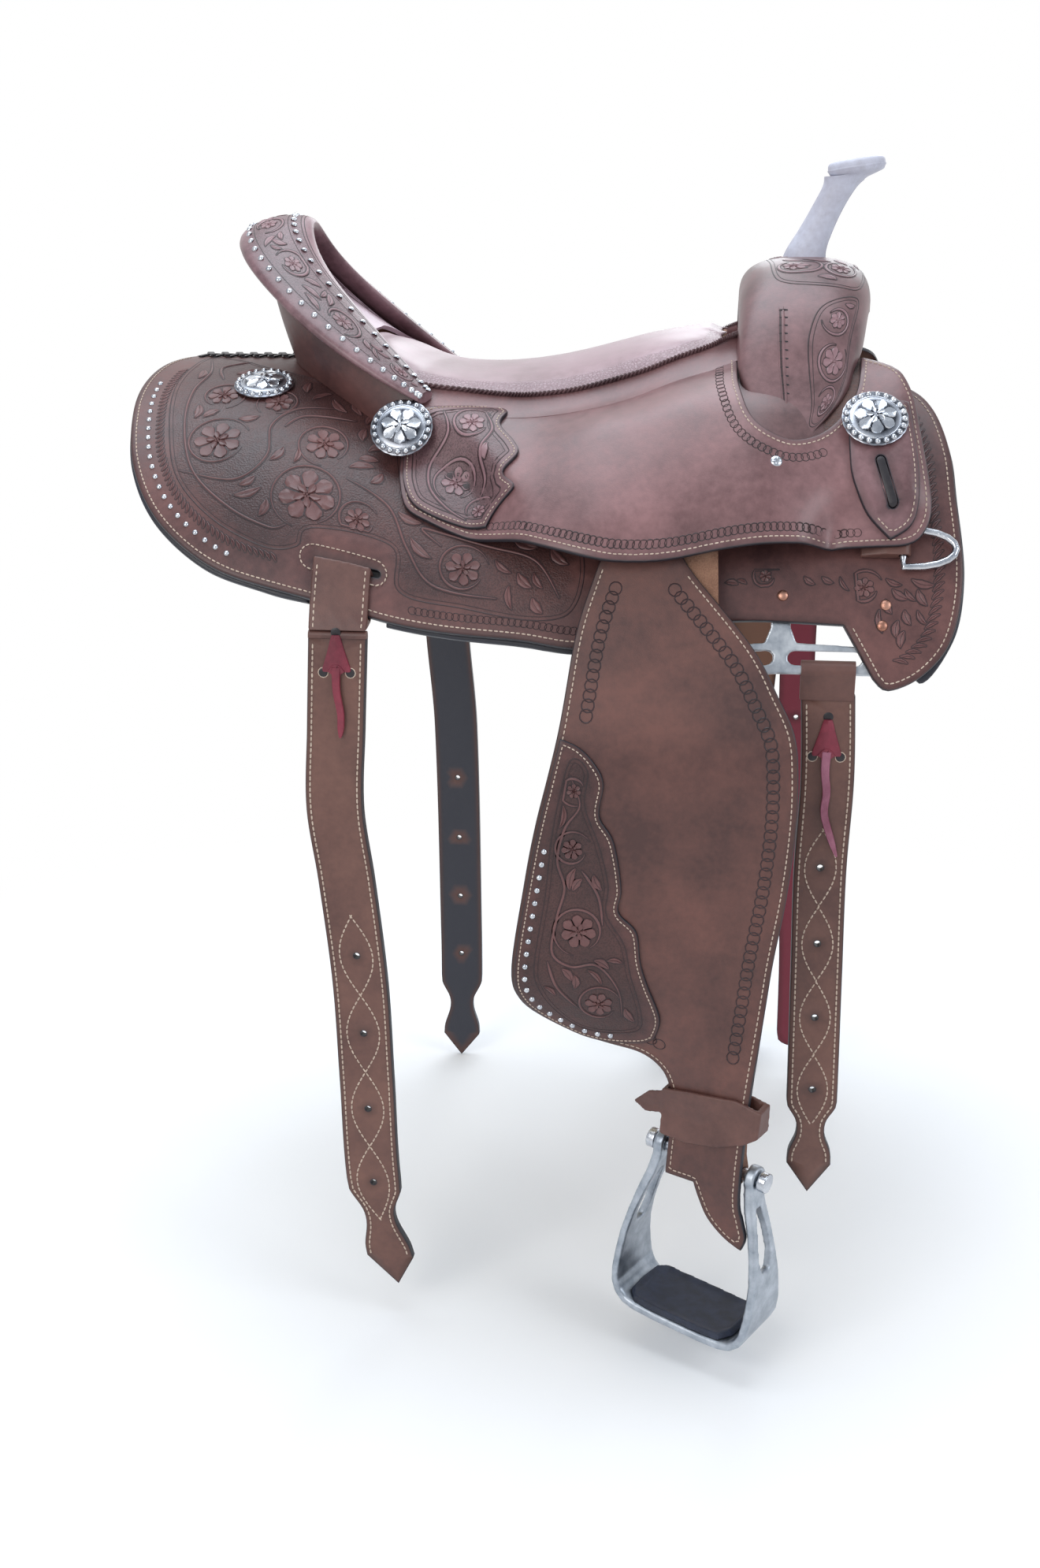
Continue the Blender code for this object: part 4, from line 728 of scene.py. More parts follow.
class Look:
    """A node material with short names for what its pieces share."""

    def __init__(self, name, **values):
        self.mat = bpy.data.materials.new(name)
        self.mat.use_nodes = True
        self.tree = self.mat.node_tree
        self.shader = self.tree.nodes["Principled BSDF"]
        self.place = self.node("ShaderNodeTexCoord").outputs["Object"]
        for key, value in values.items():
            self.shader.inputs[key.replace("_", " ")].default_value = value

    def node(self, kind, links=None, **props):
        made = self.tree.nodes.new(kind)
        for key, value in props.items():
            setattr(made, key, value)
        for key, value in (links or {}).items():
            if isinstance(value, bpy.types.NodeSocket):
                self.tree.links.new(value, made.inputs[key])
            else:
                made.inputs[key].default_value = value
        return made

    def link(self, value, key):
        self.tree.links.new(value, self.shader.inputs[key])

    def noise(self, scale, detail=3.0, rough=0.5, stretch=None):
        place = self.place
        if stretch:
            place = self.node("ShaderNodeMapping", {"Vector": place, "Scale": stretch}).outputs[0]
        return self.node("ShaderNodeTexNoise", {"Vector": place, "Scale": scale, "Detail": detail,
                                                "Roughness": rough}).outputs["Fac"]

    def cells(self, scale, feature="F1"):
        return self.node("ShaderNodeTexVoronoi", {"Vector": self.place, "Scale": scale},
                         feature=feature).outputs["Distance"]

    def span(self, value, low, high, to_low=0.0, to_high=1.0):
        return self.node("ShaderNodeMapRange", {"Value": value, "From Min": low, "From Max": high,
                                                "To Min": to_low, "To Max": to_high}).outputs[0]

    def blend(self, factor, a, b):
        return self.node("ShaderNodeMix", {0: factor, 6: a, 7: b}, data_type="RGBA").outputs[2]

    def sum(self, a, b, kind="ADD"):
        return self.node("ShaderNodeMath", {0: a, 1: b}, operation=kind).outputs[0]

    def times(self, a, b):
        return self.sum(a, b, "MULTIPLY")

    def mark(self, name):
        return self.node("ShaderNodeAttribute", attribute_name=name).outputs["Fac"]

    def bump(self, height, strength, distance=0.001):
        made = self.node("ShaderNodeBump", {"Height": height, "Strength": strength, "Distance": distance})
        self.link(made.outputs[0], "Normal")


EDGE = (30, 29, 37)
FLESH = (124, 88, 70)


def leather(name, light, dark, rough=0.42, rim=True, tooled=False, grain=0.25, coat=0.12, edge=EDGE,
            flesh=FLESH, pebble=False):
    """Dyed leather: cloudy, grained, with dark rims, a bare underside and, where tooled, a matted ground."""
    light, dark, edge, flesh = (tone(*colour) for colour in (light, dark, edge, flesh))
    look = Look(name, Coat_Weight=coat, Coat_Roughness=0.38, Specular_IOR_Level=0.45)
    cloud = look.noise(14, 5, 0.6)
    speck = look.noise(160, 3, 0.6)
    share = look.span(look.sum(cloud, look.times(speck, 0.35)), 0.48, 0.88)
    colour = look.blend(share, dark, light)
    pores = look.cells(950)
    height = look.sum(look.times(pores, grain), look.times(look.noise(420, 2), grain))
    if tooled:
        ground = look.mark("tooled")
        dots = look.cells(620)
        deep = look.times(ground, look.span(dots, 0.1, 0.6, 0.75, 0.35))
        colour = look.blend(deep, colour, (dark[0] * 0.3, dark[1] * 0.3, dark[2] * 0.34, 1))
        height = look.sum(height, look.times(look.times(dots, ground), 1.3))
    if pebble:
        band = look.mark("pebbled")
        crack = look.span(look.cells(330, "DISTANCE_TO_EDGE"), 0.02, 0.2, 1.0, 0.0)
        colour = look.blend(look.times(crack, look.times(band, 0.8)), colour, dark)
        height = look.sum(height, look.times(look.times(crack, band), -2.2))
    if rim:
        far = look.mark("rim")
        colour = look.blend(look.mark("under"), colour, flesh)
        burnt = look.span(far, 1.0, 7, 0.5, 0.0)
        colour = look.blend(burnt, colour, (dark[0] * 0.5, dark[1] * 0.5, dark[2] * 0.5, 1))
        side_face = look.span(far, 0.2, 1.1, 1.0, 0.0)
        colour = look.blend(side_face, colour, edge)
    look.link(colour, "Base Color")
    look.link(look.span(look.sum(speck, cloud), 0.6, 1.4, rough - 0.07, rough + 0.12), "Roughness")
    look.bump(height, 0.35, 0.0006)
    return look.mat


def metal(name, light, dark, rough, aged=False):
    look = Look(name, Metallic=1.0)
    smear = look.noise(60, 5, 0.65)
    colour = look.blend(look.span(smear, 0.35, 0.7), tone(*dark), tone(*light))
    height = look.noise(700, 2)
    if aged:
        ground = look.mark("ground")
        pits = look.cells(900)
        colour = look.blend(look.times(ground, look.span(pits, 0.0, 0.7, 0.75, 1)), colour, tone(44, 45, 52))
        height = look.sum(height, look.times(pits, ground))
    look.link(colour, "Base Color")
    look.link(look.span(smear, 0.3, 0.75, rough, rough + 0.16), "Roughness")
    look.bump(height, 0.12, 0.0005)
    return look.mat


def plain(name, light, dark, rough, scale, fine, bumpy, stretch=None, **values):
    """Thread, rubber, wood, wool and suede: two mottled colours over a grain."""
    look = Look(name, **values)
    broad = look.noise(scale, 4, 0.6, stretch)
    tight = look.noise(fine, 3, 0.6, stretch)
    share = look.span(look.sum(broad, tight), 0.75, 1.25)
    look.link(look.blend(share, tone(*dark), tone(*light)), "Base Color")
    look.link(look.span(tight, 0.3, 0.7, rough - 0.08, min(rough + 0.08, 1)), "Roughness")
    look.bump(tight, bumpy, 0.001)
    return look.mat


SKIRT_LOOK = leather("skirt_leather", (104, 66, 62), (66, 40, 40), tooled=True)
# The jockey's colour is its own brown leather, lightened and tinted lavender by a painted sky sheen.
JOCKEY_LEATHER_AND_SHEEN_LOOK = leather("jockey_leather", (134, 96, 97), (94, 64, 65), 0.38, coat=0.3)
FENDER_LOOK = leather("fender_leather", (104, 66, 58), (70, 43, 40), 0.46)
OVERLAY_LOOK = leather("overlay_leather", (132, 98, 101), (88, 60, 62), 0.4, tooled=True, coat=0.2)
FENDER_OVERLAY_LOOK = leather("fender_overlay_leather", (96, 60, 56), (60, 36, 36), 0.46, tooled=True)
BILLET_LOOK = leather("billet_leather", (114, 79, 68), (86, 56, 50), 0.48, flesh=(44, 45, 54))
HOBBLE_LOOK = leather("hobble_leather", (104, 70, 62), (74, 46, 42), 0.46, rim=False)
# Seat colours are lifted to a pale lavender as a painted sky sheen; the seat's own leather is a darker brown.
SEAT_SHEEN_LOOK = leather("seat_leather_painted_sheen", (158, 128, 136), (118, 88, 94), 0.34, rim=False, coat=0.45, pebble=True)
# The roll's colour is its own brown leather, lightened and tinted lavender by a painted sky sheen.
ROLL_LOOK = leather("roll_leather", (146, 112, 117), (96, 68, 72), 0.38, rim=False, tooled=True, coat=0.3)
# The dish and its carving are painted a pale, near-white lavender as a painted sky reflection; their own
# leather is a darker brown.
DISH_SHEEN_LOOK = leather("dish_leather", (186, 162, 172), (140, 114, 122), 0.38, rim=False, coat=0.35)
DISH_SCROLL_SHEEN_LOOK = leather("dish_scroll_leather_painted_sheen", (190, 166, 175), (146, 120, 128), 0.38, rim=False, coat=0.3)
SWELL_LOOK = leather("swell_leather", (126, 92, 94), (72, 48, 49), 0.4, rim=False, tooled=True, coat=0.25)
SCROLL_LOOK = leather("scroll_leather", (112, 74, 72), (80, 50, 50), 0.42, rim=False)
SCROLL_PALE_LOOK = leather("pale_scroll_leather", (148, 114, 119), (108, 78, 82), 0.4, rim=False, coat=0.2)
CUT_LOOK = leather("cut_line_leather", (58, 34, 36), (34, 20, 23), 0.5, rim=False)
EDGE_LOOK = leather("edge_dye_leather", (46, 47, 58), (26, 26, 34), 0.45, rim=False)
# The horn wrap's bluish-white colour is a painted sky sheen laid into its base colour.
HORN_SHEEN_LOOK = leather("horn_wrap_painted_sheen", (196, 198, 212), (158, 154, 164),
                    0.5, rim=False, grain=0.5, coat=0.1)
BACK_LOOK = leather("cantle_back_leather", (100, 64, 60), (64, 40, 40), 0.44, rim=False)
BURGUNDY_LOOK = leather("burgundy_strap", (128, 34, 54), (84, 18, 32), 0.45, edge=(70, 16, 30),
                        flesh=(112, 30, 48))
LACE_LOOK = leather("burgundy_lace", (138, 48, 66), (94, 24, 40), 0.5, rim=False)
PINK_LACE_LOOK = leather("pink_lace", (170, 110, 130), (120, 58, 80), 0.5, rim=False)
BLACK_LACE_LOOK = leather("dark_lace", (46, 40, 44), (24, 22, 27), 0.4, rim=False)
ROPE_LOOK = leather("rope_edge_leather", (104, 74, 76), (54, 36, 40), 0.42, rim=False)
SWELL_APRON_LOOK = leather("swell_apron_leather", (112, 80, 80), (66, 43, 44), 0.4, coat=0.25)
# Same colours as the jockey: its own brown leather, lightened and tinted lavender by a painted sky sheen.
RISE_LEATHER_AND_SHEEN_LOOK = leather("seat_rise_leather_painted_sheen", (134, 96, 97), (94, 64, 65), 0.38, rim=False, coat=0.3)
SUEDE_LOOK = plain("suede_lining", (150, 112, 90), (112, 76, 60), 0.85, 40, 900, 0.6)
THREAD_LOOK = plain("cream_thread", (214, 196, 178), (168, 146, 130), 0.7, 300, 2200, 0.5)
WOOL_LOOK = plain("cream_wool", (228, 218, 194), (192, 176, 144), 0.95, 90, 480, 1.0)
WOOD_LOOK = plain("tree_wood_grain", (150, 108, 74), (96, 64, 42), 0.7, 30, 300, 0.4, (1, 6, 6))
FORK_LOOK = plain("fork_rawhide", (104, 72, 64), (66, 43, 40), 0.55, 30, 500, 0.4)
RUBBER_LOOK = plain("tread_rubber", (45, 52, 72), (22, 26, 38), 0.55, 80, 1400, 0.5)
SILVER_LOOK = metal("polished_silver", (226, 228, 232), (176, 180, 188), 0.18)
CONCHO_LOOK = metal("aged_silver", (206, 209, 216), (150, 154, 164), 0.24, True)
STEEL_LOOK = metal("brushed_plate_steel", (214, 218, 222), (170, 176, 184), 0.3)
ALUMINIUM_LOOK = metal("satin_cast_aluminium", (196, 202, 210), (150, 158, 168), 0.34)
COPPER_LOOK = metal("copper_rivets", (206, 158, 138), (150, 100, 84), 0.3)

# Skirts, jockeys and the pieces laid on them

REAR_SLOT = slot_loop(-157, 289, 28.5, 3.4)
TAB_SLOT = slot_loop(284, 236, 21, 4.2, radians(72))
SKIRT_LINE = smooth_loop(SKIRT, 5)
JOCKEY_LINE = smooth_loop(JOCKEY, 5)
OVERLAY_LINE = smooth_loop(JOCKEY_OVERLAY, 4)
TAB_LINE = smooth_loop(TAB, 4)
FENDER_LINE = smooth_loop(FENDER, 5)
FENDER_OVERLAY_LINE = smooth_loop(FENDER_OVERLAY, 4)
SKIRT_REAR_TOOLED = vectors((
    (-330, 18), (-338, 60), (-340, 110), (-330, 168), (-312, 222), (-274, 262), (-228, 284), (-200, 280),
    (-190, 262), (-122, 262), (-112, 300), (-60, 306), (30, 310), (30, 240), (-60, 236), (-100, 226),
    (-118, 196), (-130, 150), (-150, 112), (-200, 88), (-262, 60), (-300, 30)))


def build_sheets(name, side):
    sheet("skirt_leather_" + name, SKIRT_LINE, body_point, lambda a, b: 0.2, skirt_high, SKIRT_LOOK, "saddle",
          side, [REAR_SLOT], stands_for=["skirt_" + name], edge=2.2, tooled=SKIRT_REAR_TOOLED)
    sheet("jockey_leather_" + name, JOCKEY_LINE, body_point, jockey_low, jockey_high, JOCKEY_LEATHER_AND_SHEEN_LOOK, "saddle",
          side, stands_for=["seat_jockey_" + name], step=9)
    sheet("overlay_leather_" + name, OVERLAY_LINE, body_point, over_jockey(-0.6), over_jockey(OVERLAY_THICK),
          OVERLAY_LOOK, "saddle", side, stands_for=["jockey_overlay_" + name], step=7, edge=1.0,
          tooled=inset_line(OVERLAY_LINE, 8))
    sheet("tab_leather_" + name, TAB_LINE, body_point, over_jockey(-0.6), over_jockey(TAB_THICK),
          OVERLAY_LOOK, "saddle", side, [TAB_SLOT], stands_for=["slotted_tab_" + name], step=7)
    surface = hanging(name)
    body = name + "_fender"
    sheet("fender_leather_" + name, FENDER_LINE, surface, fender_low, fender_high, FENDER_LOOK, body, side,
          stands_for=["fender_" + name], step=9)
    sheet("fender_patch_" + name, FENDER_OVERLAY_LINE, surface, lambda x, r: fender_high(x, r) - 0.1,
          patch_high, FENDER_OVERLAY_LOOK, body, side, stands_for=["fender_overlay_" + name], step=7,
          edge=1.0, tooled=inset_line(FENDER_OVERLAY_LINE, 8))


def wool_low(a, b):
    """Underside of the fleece, in soft locks."""
    spot = Vector((a, b, 0)) * 0.09
    return -LAYER_GAP - FLEECE_THICK + 1.2 - 1.8 * noise.noise(spot) - 1.2 * noise.noise(spot * 3.1)


def build_fleece(name, side):
    line = smooth_loop(FLEECE, 5)
    sheet("skirt_edge_" + name, line, body_point, lambda a, b: -5.2, lambda a, b: -0.1, EDGE_LOOK,
          "saddle", side, step=14, edge=1.5)
    drift = lambda p, seed: noise.noise(Vector((p.x, p.y, seed)) * 0.11)
    lumpy = [p + Vector((drift(p, 3), drift(p, 9))) * 2 for p in inset_line(line, 7)]
    piece = sheet("fleece_pile_" + name, lumpy, body_point, wool_low, lambda a, b: -3.5, WOOL_LOOK,
                  "saddle", side, slot="cream_fleece", stands_for=["fleece_" + name], step=6, edge=3.5)


# Cantle, seat and swell

def build_cantle():
    rings = [[roll_point(mix(-1, 1, k / 96), a) for a in angles(28)] for k in range(97)]
    verts, faces = loft(rings)
    shade = [1.0 if 4 <= i % 28 <= 10 else 0.0 for i in range(len(verts))]
    solid("cantle_roll_leather", verts, faces, ROLL_LOOK, "saddle", stands_for=["cantle_roll"],
          marks={"tooled": shade})
    rings = []
    reach = 0.62
    down = Vector((-0.6, 0, -0.8))
    for k in range(61):
        t = mix(-reach, reach, k / 60)
        front = [dish_point(t, mix(-0.16, 1.05, j / 20)) for j in range(21)]
        rings.append(front + [p + down * 4 for p in reversed(front)])
    solid("cantle_dish_leather", *loft(rings), DISH_SHEEN_LOOK, "saddle", stands_for=["cantle_dish"])
    rings = []
    for k in range(61):
        t = mix(-0.86, 0.86, k / 60)
        size = roll_scale(t)
        out = cantle_out(t)
        head = cantle_point(t) + out * 10 * size + Vector((0, 0, -ROLL_HALF_THICK * size - 2))
        a = t * pi / 2
        foot_y = 152 * sin(a)
        foot_x = -120 - 130 * (1 - abs(sin(a)) ** 2.2)
        foot_z = lifted_height(foot_x, foot_y, SKIRT_THICK + 0.6)
        foot = Vector((foot_x, foot_y, min(foot_z, head.z - 2)))
        line = [head.lerp(foot, j / 9) + out * (2.5 * sin(pi * j / 9)) for j in range(10)]
        rings.append(line + [p - out * 3.5 for p in reversed(line)])
    solid("cantle_back_leather", *loft(rings), BACK_LOOK, "saddle", stands_for=["cantle_back"])


def build_seat():
    """The padded seat, blown up a little by a cloth simulation inside its own leather."""
    pad = remeshed("seat_cushion", "seat_pad", 0.00002, 0.005)
    settle(pad)
    start = [v.co.copy() for v in pad.data.vertices]
    cloth = pad.modifiers.new("fill", "CLOTH")
    cloth.settings.use_pressure = True
    cloth.settings.uniform_pressure_force = 4
    cloth.settings.effector_weights.gravity = 0
    cloth.settings.quality = 5
    cloth.point_cache.frame_start = 1
    cloth.point_cache.frame_end = 20
    for step in range(1, 21):
        bpy.context.scene.frame_set(step)
    settle(pad)
    bpy.context.scene.frame_set(1)
    most = 2.5 * MM
    for v, here in zip(pad.data.vertices, start):
        move = v.co - here
        if move.length > most:
            v.co = here + move.normalized() * most
    relaxed(pad, 6)
    finer = pad.modifiers.new("finer", "SUBSURF")
    finer.levels = 1
    settle(pad)
    pad.data.materials.clear()
    pad.data.materials.append(SEAT_SHEEN_LOOK)
    spots = [(v.co.x / MM, v.co.y / MM) for v in pad.data.vertices]
    band = rim_distance([smooth_loop(SEAT, 8)], spots)
    set_mark(pad.data, "pebbled",
             [1.0 if far < PEBBLE_BAND and x > PEBBLE_REAR else 0.0 for far, (x, _) in zip(band, spots)])
    pad.data.shade_smooth()
    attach(pad, "saddle")
    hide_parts("seat_cushion")


def cast(node, name, mat, voxel, smooth=3):
    """A piece with the frame's own shape, its facets and hard edges smoothed away."""
    obj = remeshed(node, name, 0.00001, voxel * MM)
    relaxed(obj, smooth)
    settle(obj)
    obj.data.materials.clear()
    obj.data.materials.append(mat)
    obj.data.shade_smooth()
    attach(obj, frame["nodes"][node]["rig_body"])
    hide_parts(node)
    return obj


def build_swell():
    rings = []
    for k in range(97):
        n = mix(-8, 8, k / 96)
        rings.append([swell_point(n, pi * j / 32) for j in range(33)]
                     + [swell_point(n, pi * j / 32, -4.2) for j in range(32, -1, -1)])
    verts, faces = loft(rings)
    solid("swell_leather_cover", verts, faces, SWELL_LOOK, "saddle", stands_for=["swell_cover"],
          marks={"tooled": [0.0] * len(verts)}, sharp=70)


HORN_PATH = vectors(((217, 92, 22, 20), (219, 112, 18, 17), (228, 132, 15, 14.5), (238, 152, 14, 13.5),
                     (247, 168, 15, 15), (252, 176, 19, 19)))
HORN_TILT = radians(8)
HORN_CAP = Vector((261, 0, 185))


def horn_cap_point(radius, height, a):
    along = 25 * radius * cos(a)
    rise = 11 * height
    return HORN_CAP + Vector((along * cos(HORN_TILT) - rise * sin(HORN_TILT), 26.5 * radius * sin(a),
                              along * sin(HORN_TILT) + rise * cos(HORN_TILT)))


def build_horn():
    rings = []
    for k in range(26):
        x, z, rx, ry = curved(HORN_PATH, k / 5)
        rings.append([Vector((x + rx * cos(a), ry * sin(a), z)) for a in angles(40)])
    for radius, height in ((0.86, -0.58), (0.95, -0.48), (1.0, -0.25), (1.01, 0), (1.0, 0.25), (0.96, 0.4),
                           (0.88, 0.5), (0.74, 0.545), (0.5, 0.56), (0.25, 0.57)):
        rings.append([horn_cap_point(radius, height, a) for a in angles(40)])
    solid("horn_wrap", *loft(rings), HORN_SHEEN_LOOK, "saddle", "horn_leather", stands_for=["horn"])


# Straps

def flow(points, x):
    """Smooth value through (x, value) points."""
    if x <= points[0][0]:
        return points[0][1]
    for i, ((x0, v0), (x1, v1)) in enumerate(zip(points, points[1:])):
        if x <= x1:
            before = points[i - 1] if i else points[i]
            after = points[min(i + 2, len(points) - 1)]
            m0 = (v1 - before[1]) / (x1 - before[0]) * (x1 - x0)
            m1 = (after[1] - v0) / (after[0] - x0) * (x1 - x0)
            return hermite(v0, v1, m0, m1, (x - x0) / (x1 - x0))
    return points[-1][1]


def strap_outline(width, middle, tip, start=0.0):
    """Strap with a waisted tip that ends in a point: tip is (shoulder, neck, bulge) along it."""
    end = middle[-1][0]
    shoulder, neck, bulge = tip
    shape = [(0, 0.5), (shoulder, 0.5), (neck - 8, 0.3), (neck + 6, 0.29), (bulge - 12, 0.42), (bulge, 0.44)]
    rows = [start + k * 8 for k in range(int((shoulder - start) / 8) + 1)]
    rows += [shoulder + k * 4 for k in range(1, int((bulge - shoulder) / 4) + 1)] + [bulge]
    half = lambda b: width * (0.5 if b <= shoulder else flow(shape, b))
    right = [Vector((flow(middle, b) + half(b), b)) for b in rows]
    left = [Vector((flow(middle, b) - half(b), b)) for b in reversed(rows)]
    return right + [Vector((flow(middle, end), end))] + left


def end_outline(width, middle, start):
    end = middle[-1][0]
    rows = [start + k * 8 for k in range(int((end - 14 - start) / 8) + 1)]
    right = [Vector((flow(middle, b) + width / 2, b)) for b in rows]
    left = [Vector((flow(middle, b) - width / 2, b)) for b in reversed(rows)]
    round_end = [Vector((flow(middle, end) + width / 2 * cos(a), end - 12 + 12 * sin(a)))
                 for a in (pi * k / 8 for k in range(1, 8))]
    return right + round_end + left


def lozenges(middle, centres, half_length, width):
    """Two stitch lines that cross between the holes and bow out beside them."""
    lines = []
    for sign in (1, -1):
        line = []
        for number, centre in enumerate(centres):
            for k in range(13):
                b = centre - half_length + 2 * half_length * k / 12
                bow = sin(pi * k / 12) * width * 0.3 * sign * (1 if number % 2 == 0 else -1)
                line.append(Vector((flow(middle, b) + bow, b)))
        lines.append(line)
    return lines


def build_strap(name, side, body, hinge, outline, holes, node, look, laced=None, rows=()):
    y, z = hinge
    surface = lambda a, b, lift: Vector((a, -y - lift, z - b))
    high = lambda a, b: STRAP_HALF
    loops = [[Vector((x + STRAP_HOLE * cos(a), b + STRAP_HOLE * sin(a))) for a in angles(14)]
             for x, b in holes]
    slot = LEATHER if laced else BURGUNDY
    sheet(name + "_strap", outline, surface, lambda a, b: -STRAP_HALF, high, look, body, side, loops, slot,
          stands_for=[node], step=8)
    if laced:
        top = min(p.y for p in outline) + 5
        parts = []
        for run in [*stretches(inset_line(outline, 4.2), lambda p: p.y > top), *rows]:
            parts += stitch_parts(run, surface, high)
        merged(name + "_stitches", parts, THREAD_LOOK, body, slot, side)
        build_lace(name, side, body, surface, high, laced)


def ribbon(line, width, thick, surface, high, lift=0.3):
    """Flat thong laid along a line of flat points; width may be a list along it."""
    rings = []
    for i, p in enumerate(line):
        run = run_at(line, i)
        across = Vector((-run.y, run.x))
        place = i / (len(line) - 1)
        half = (piecewise(width, place) if isinstance(width, list) else width) / 2
        bow = 0.8 * sin(pi * i / (len(line) - 1))
        rings.append([surface(q.x, q.y, high(q.x, q.y) + lift + bow + thick * h)
                      for q, h in ((p + across * half * s, h) for s, h in (
                          (-1, 0.15), (-0.85, 1), (0.85, 1), (1, 0.15), (1, 0), (-1, 0)))])
    return loft(rings)


def eased(points, count=14):
    values = [Vector(p) for p in points]
    return [curved(values, (len(values) - 1) * k / (count - 1)) for k in range(count)]


def build_lace(name, side, body, surface, high, spot):
    """Saddle string: through a hole above, out of two below and hanging in a tail."""
    x, b, tail = spot
    knot = relief(eased([(x, b - 1), (x, b + 15), (x, b + 30)]), [(0, 3.2), (0.3, 6), (0.9, 12.5), (1, 11.5)],
                  3.6, surface, high, TENT)
    band = ribbon(eased([(x - 5, b + 31), (x, b + 25.5), (x + 5, b + 31)], 8), 6, 1.6, surface, high, 1.4)
    merged(name + "_lace_knot", [knot, band], LACE_LOOK, body, side=side)
    widths = [(0, 8), (0.2, 7), (0.85, 6), (1, 2)]
    end = ribbon(eased([(x, b + 26)] + tail, 24), widths, 1.8, surface, high, 2.4)
    solid(name + "_lace_tail", *end, PINK_LACE_LOOK if body == "right_billet" else LACE_LOOK, body, side=side)
    out = surface(x, b, 1) - surface(x, b, 0)
    holes = [(surface(x + dx, b + db, high(x, b)), out) for dx, db in ((0, -3), (-11.5, 31), (11.5, 31))]
    merged(name + "_lace_holes", dome_parts(holes, 4.2, 0.5, 14), BLACK_LACE_LOOK, body, side=side)
    spots = [(Vector((x + dx, b + 31)), Vector((1, 0))) for dx in (-11.5, 11.5)]
    rims = ring_parts(spots, 4.2, 0.7, surface, high)
    merged(name + "_lace_eyelets", rims, THREAD_LOOK, body, side=side)


def strap_holes(middle, first, gap, count):
    return [(flow(middle, first + gap * k), first + gap * k) for k in range(count)]


def loop_stitches(loop, x, side):
    """Stitches down the outer face of a loop at x."""
    hits = []
    for height in range(-190, -120, 5):
        hit, here, out, _ = loop.ray_cast(Vector((x, -side * 600, height)) * MM, Vector((0, side, 0)))
        if hit and abs(out.y) > 0.3:
            hits.append((here / MM, out))
    parts = []
    for (a, out), (b, _) in zip(hits, hits[1:]):
        if (b - a).length < 12:
            run = (b - a).normalized()
            beside = run.cross(out)
            parts.append(loft([[a + run * along * 3.6 + beside * 0.65 * r * cos(pi * k / 2.5)
                                + out * 0.65 * (0.15 + r * sin(pi * k / 2.5)) for k in range(5)]
                               for along, r in ((0, 0.35), (0.2, 0.95), (0.8, 0.95), (1, 0.35))]))
    return parts


def build_rear_billet(name, side):
    middle = REAR_MIDDLE[name]
    tip = middle[-1][0]
    holes = strap_holes(middle, 285, 74, 4)
    outline = strap_outline(REAR_BILLET_WIDTH, middle, (tip - 100, tip - 68, tip - 28))
    rows = lozenges(middle, [b for _, b in holes], 37, REAR_BILLET_WIDTH)
    tail = [(-161, 46), (-158, 66), (-159, 86)]
    body = name + "_rear_billet"
    build_strap("rear_billet_" + name + "_leather", side, body, REAR_HINGE, outline, holes,
                "rear_billet_" + name, BILLET_LOOK, (-161, 0, tail), rows)
    y, z = REAR_HINGE
    left_edge = middle[0][1] - REAR_BILLET_WIDTH / 2
    fold = []
    for k in range(7):
        x = left_edge + REAR_BILLET_WIDTH * k / 6
        fold.append([Vector((x, -y - STRAP_HALF * cos(pi * j / 12), z + STRAP_HALF * sin(pi * j / 12)))
                     for j in range(13)]
                    + [Vector((x, -y + STRAP_HALF, z - 2)), Vector((x, -y - STRAP_HALF, z - 2))])
    solid("rear_billet_fold_" + name, *loft(fold), HOBBLE_LOOK, body, side=side)
    loop = cast("rear_billet_loop_" + name, "rear_billet_keeper_" + name, HOBBLE_LOOK, 1.3)
    parts = [part for x in (-20.3, 20.3) for part in loop_stitches(loop, middle[0][1] + x, side)]
    merged("rear_billet_loop_stitches_" + name, parts, THREAD_LOOK)


def build_billets():
    for name, side in SIDES:
        build_rear_billet(name, side)
    point = body_point(243.5, 379.3, -LAYER_GAP - 1.6)
    hinge = (-point.y, point.z)
    tip = OFF_MIDDLE[-1][0]
    holes = strap_holes(OFF_MIDDLE, 170, 69, 4)
    tail = [(245, 84), (247, 102), (246, 120), (251, 138), (258, 158)]
    build_strap("off_billet_leather", 1, "right_billet", hinge,
                strap_outline(OFF_BILLET_WIDTH, OFF_MIDDLE, (tip - 88, tip - 62, tip - 28), 20), holes,
                "off_billet_right", BILLET_LOOK, (245.5, 41, tail),
                lozenges(OFF_MIDDLE, [b for _, b in holes], 34, OFF_BILLET_WIDTH))
    strap_top("off_billet_fold", hinge, 243.5, OFF_BILLET_WIDTH, "right_billet", 1, HOBBLE_LOOK, LEATHER)
    build_strap("latigo_leather", -1, "left_latigo", hinge, end_outline(LATIGO_WIDTH, LATIGO_MIDDLE, 20),
                strap_holes(LATIGO_MIDDLE, 170, 0, 1), "latigo_left", BURGUNDY_LOOK)
    strap_top("latigo_fold", hinge, 241.5, LATIGO_WIDTH, "left_latigo", -1, BURGUNDY_LOOK, BURGUNDY)


def strap_top(name, hinge, x, width, body, side, look, slot):
    """Strap folded round the plate's lower strip, closing into its two plies."""
    y, z = hinge
    outer, inner = 8.4, 4.5
    arc = lambda radius, steps: [(radius * cos(radians(a)), radius * sin(radians(a))) for a in steps]
    profile = [*arc(outer, range(-35, 216, 10)), (-STRAP_HALF, -24), (-0.2, -24),
               *arc(inner, range(225, -46, -15)), (0.2, -24), (STRAP_HALF, -24)]
    rings = []
    for k in range(7):
        across = x - width / 2 + width * k / 6
        rings.append([Vector((across, -y - out, z + up)) for out, up in profile])
    verts, faces = loft(rings)
    marks = {"rim": [8.0 if 0 < i // len(rings[0]) < 6 else 0.0 for i in range(len(verts))]}
    solid(name, verts, faces, look, body, slot, side, marks=marks)


# Metal, rubber and the pieces that keep the frame's own shape

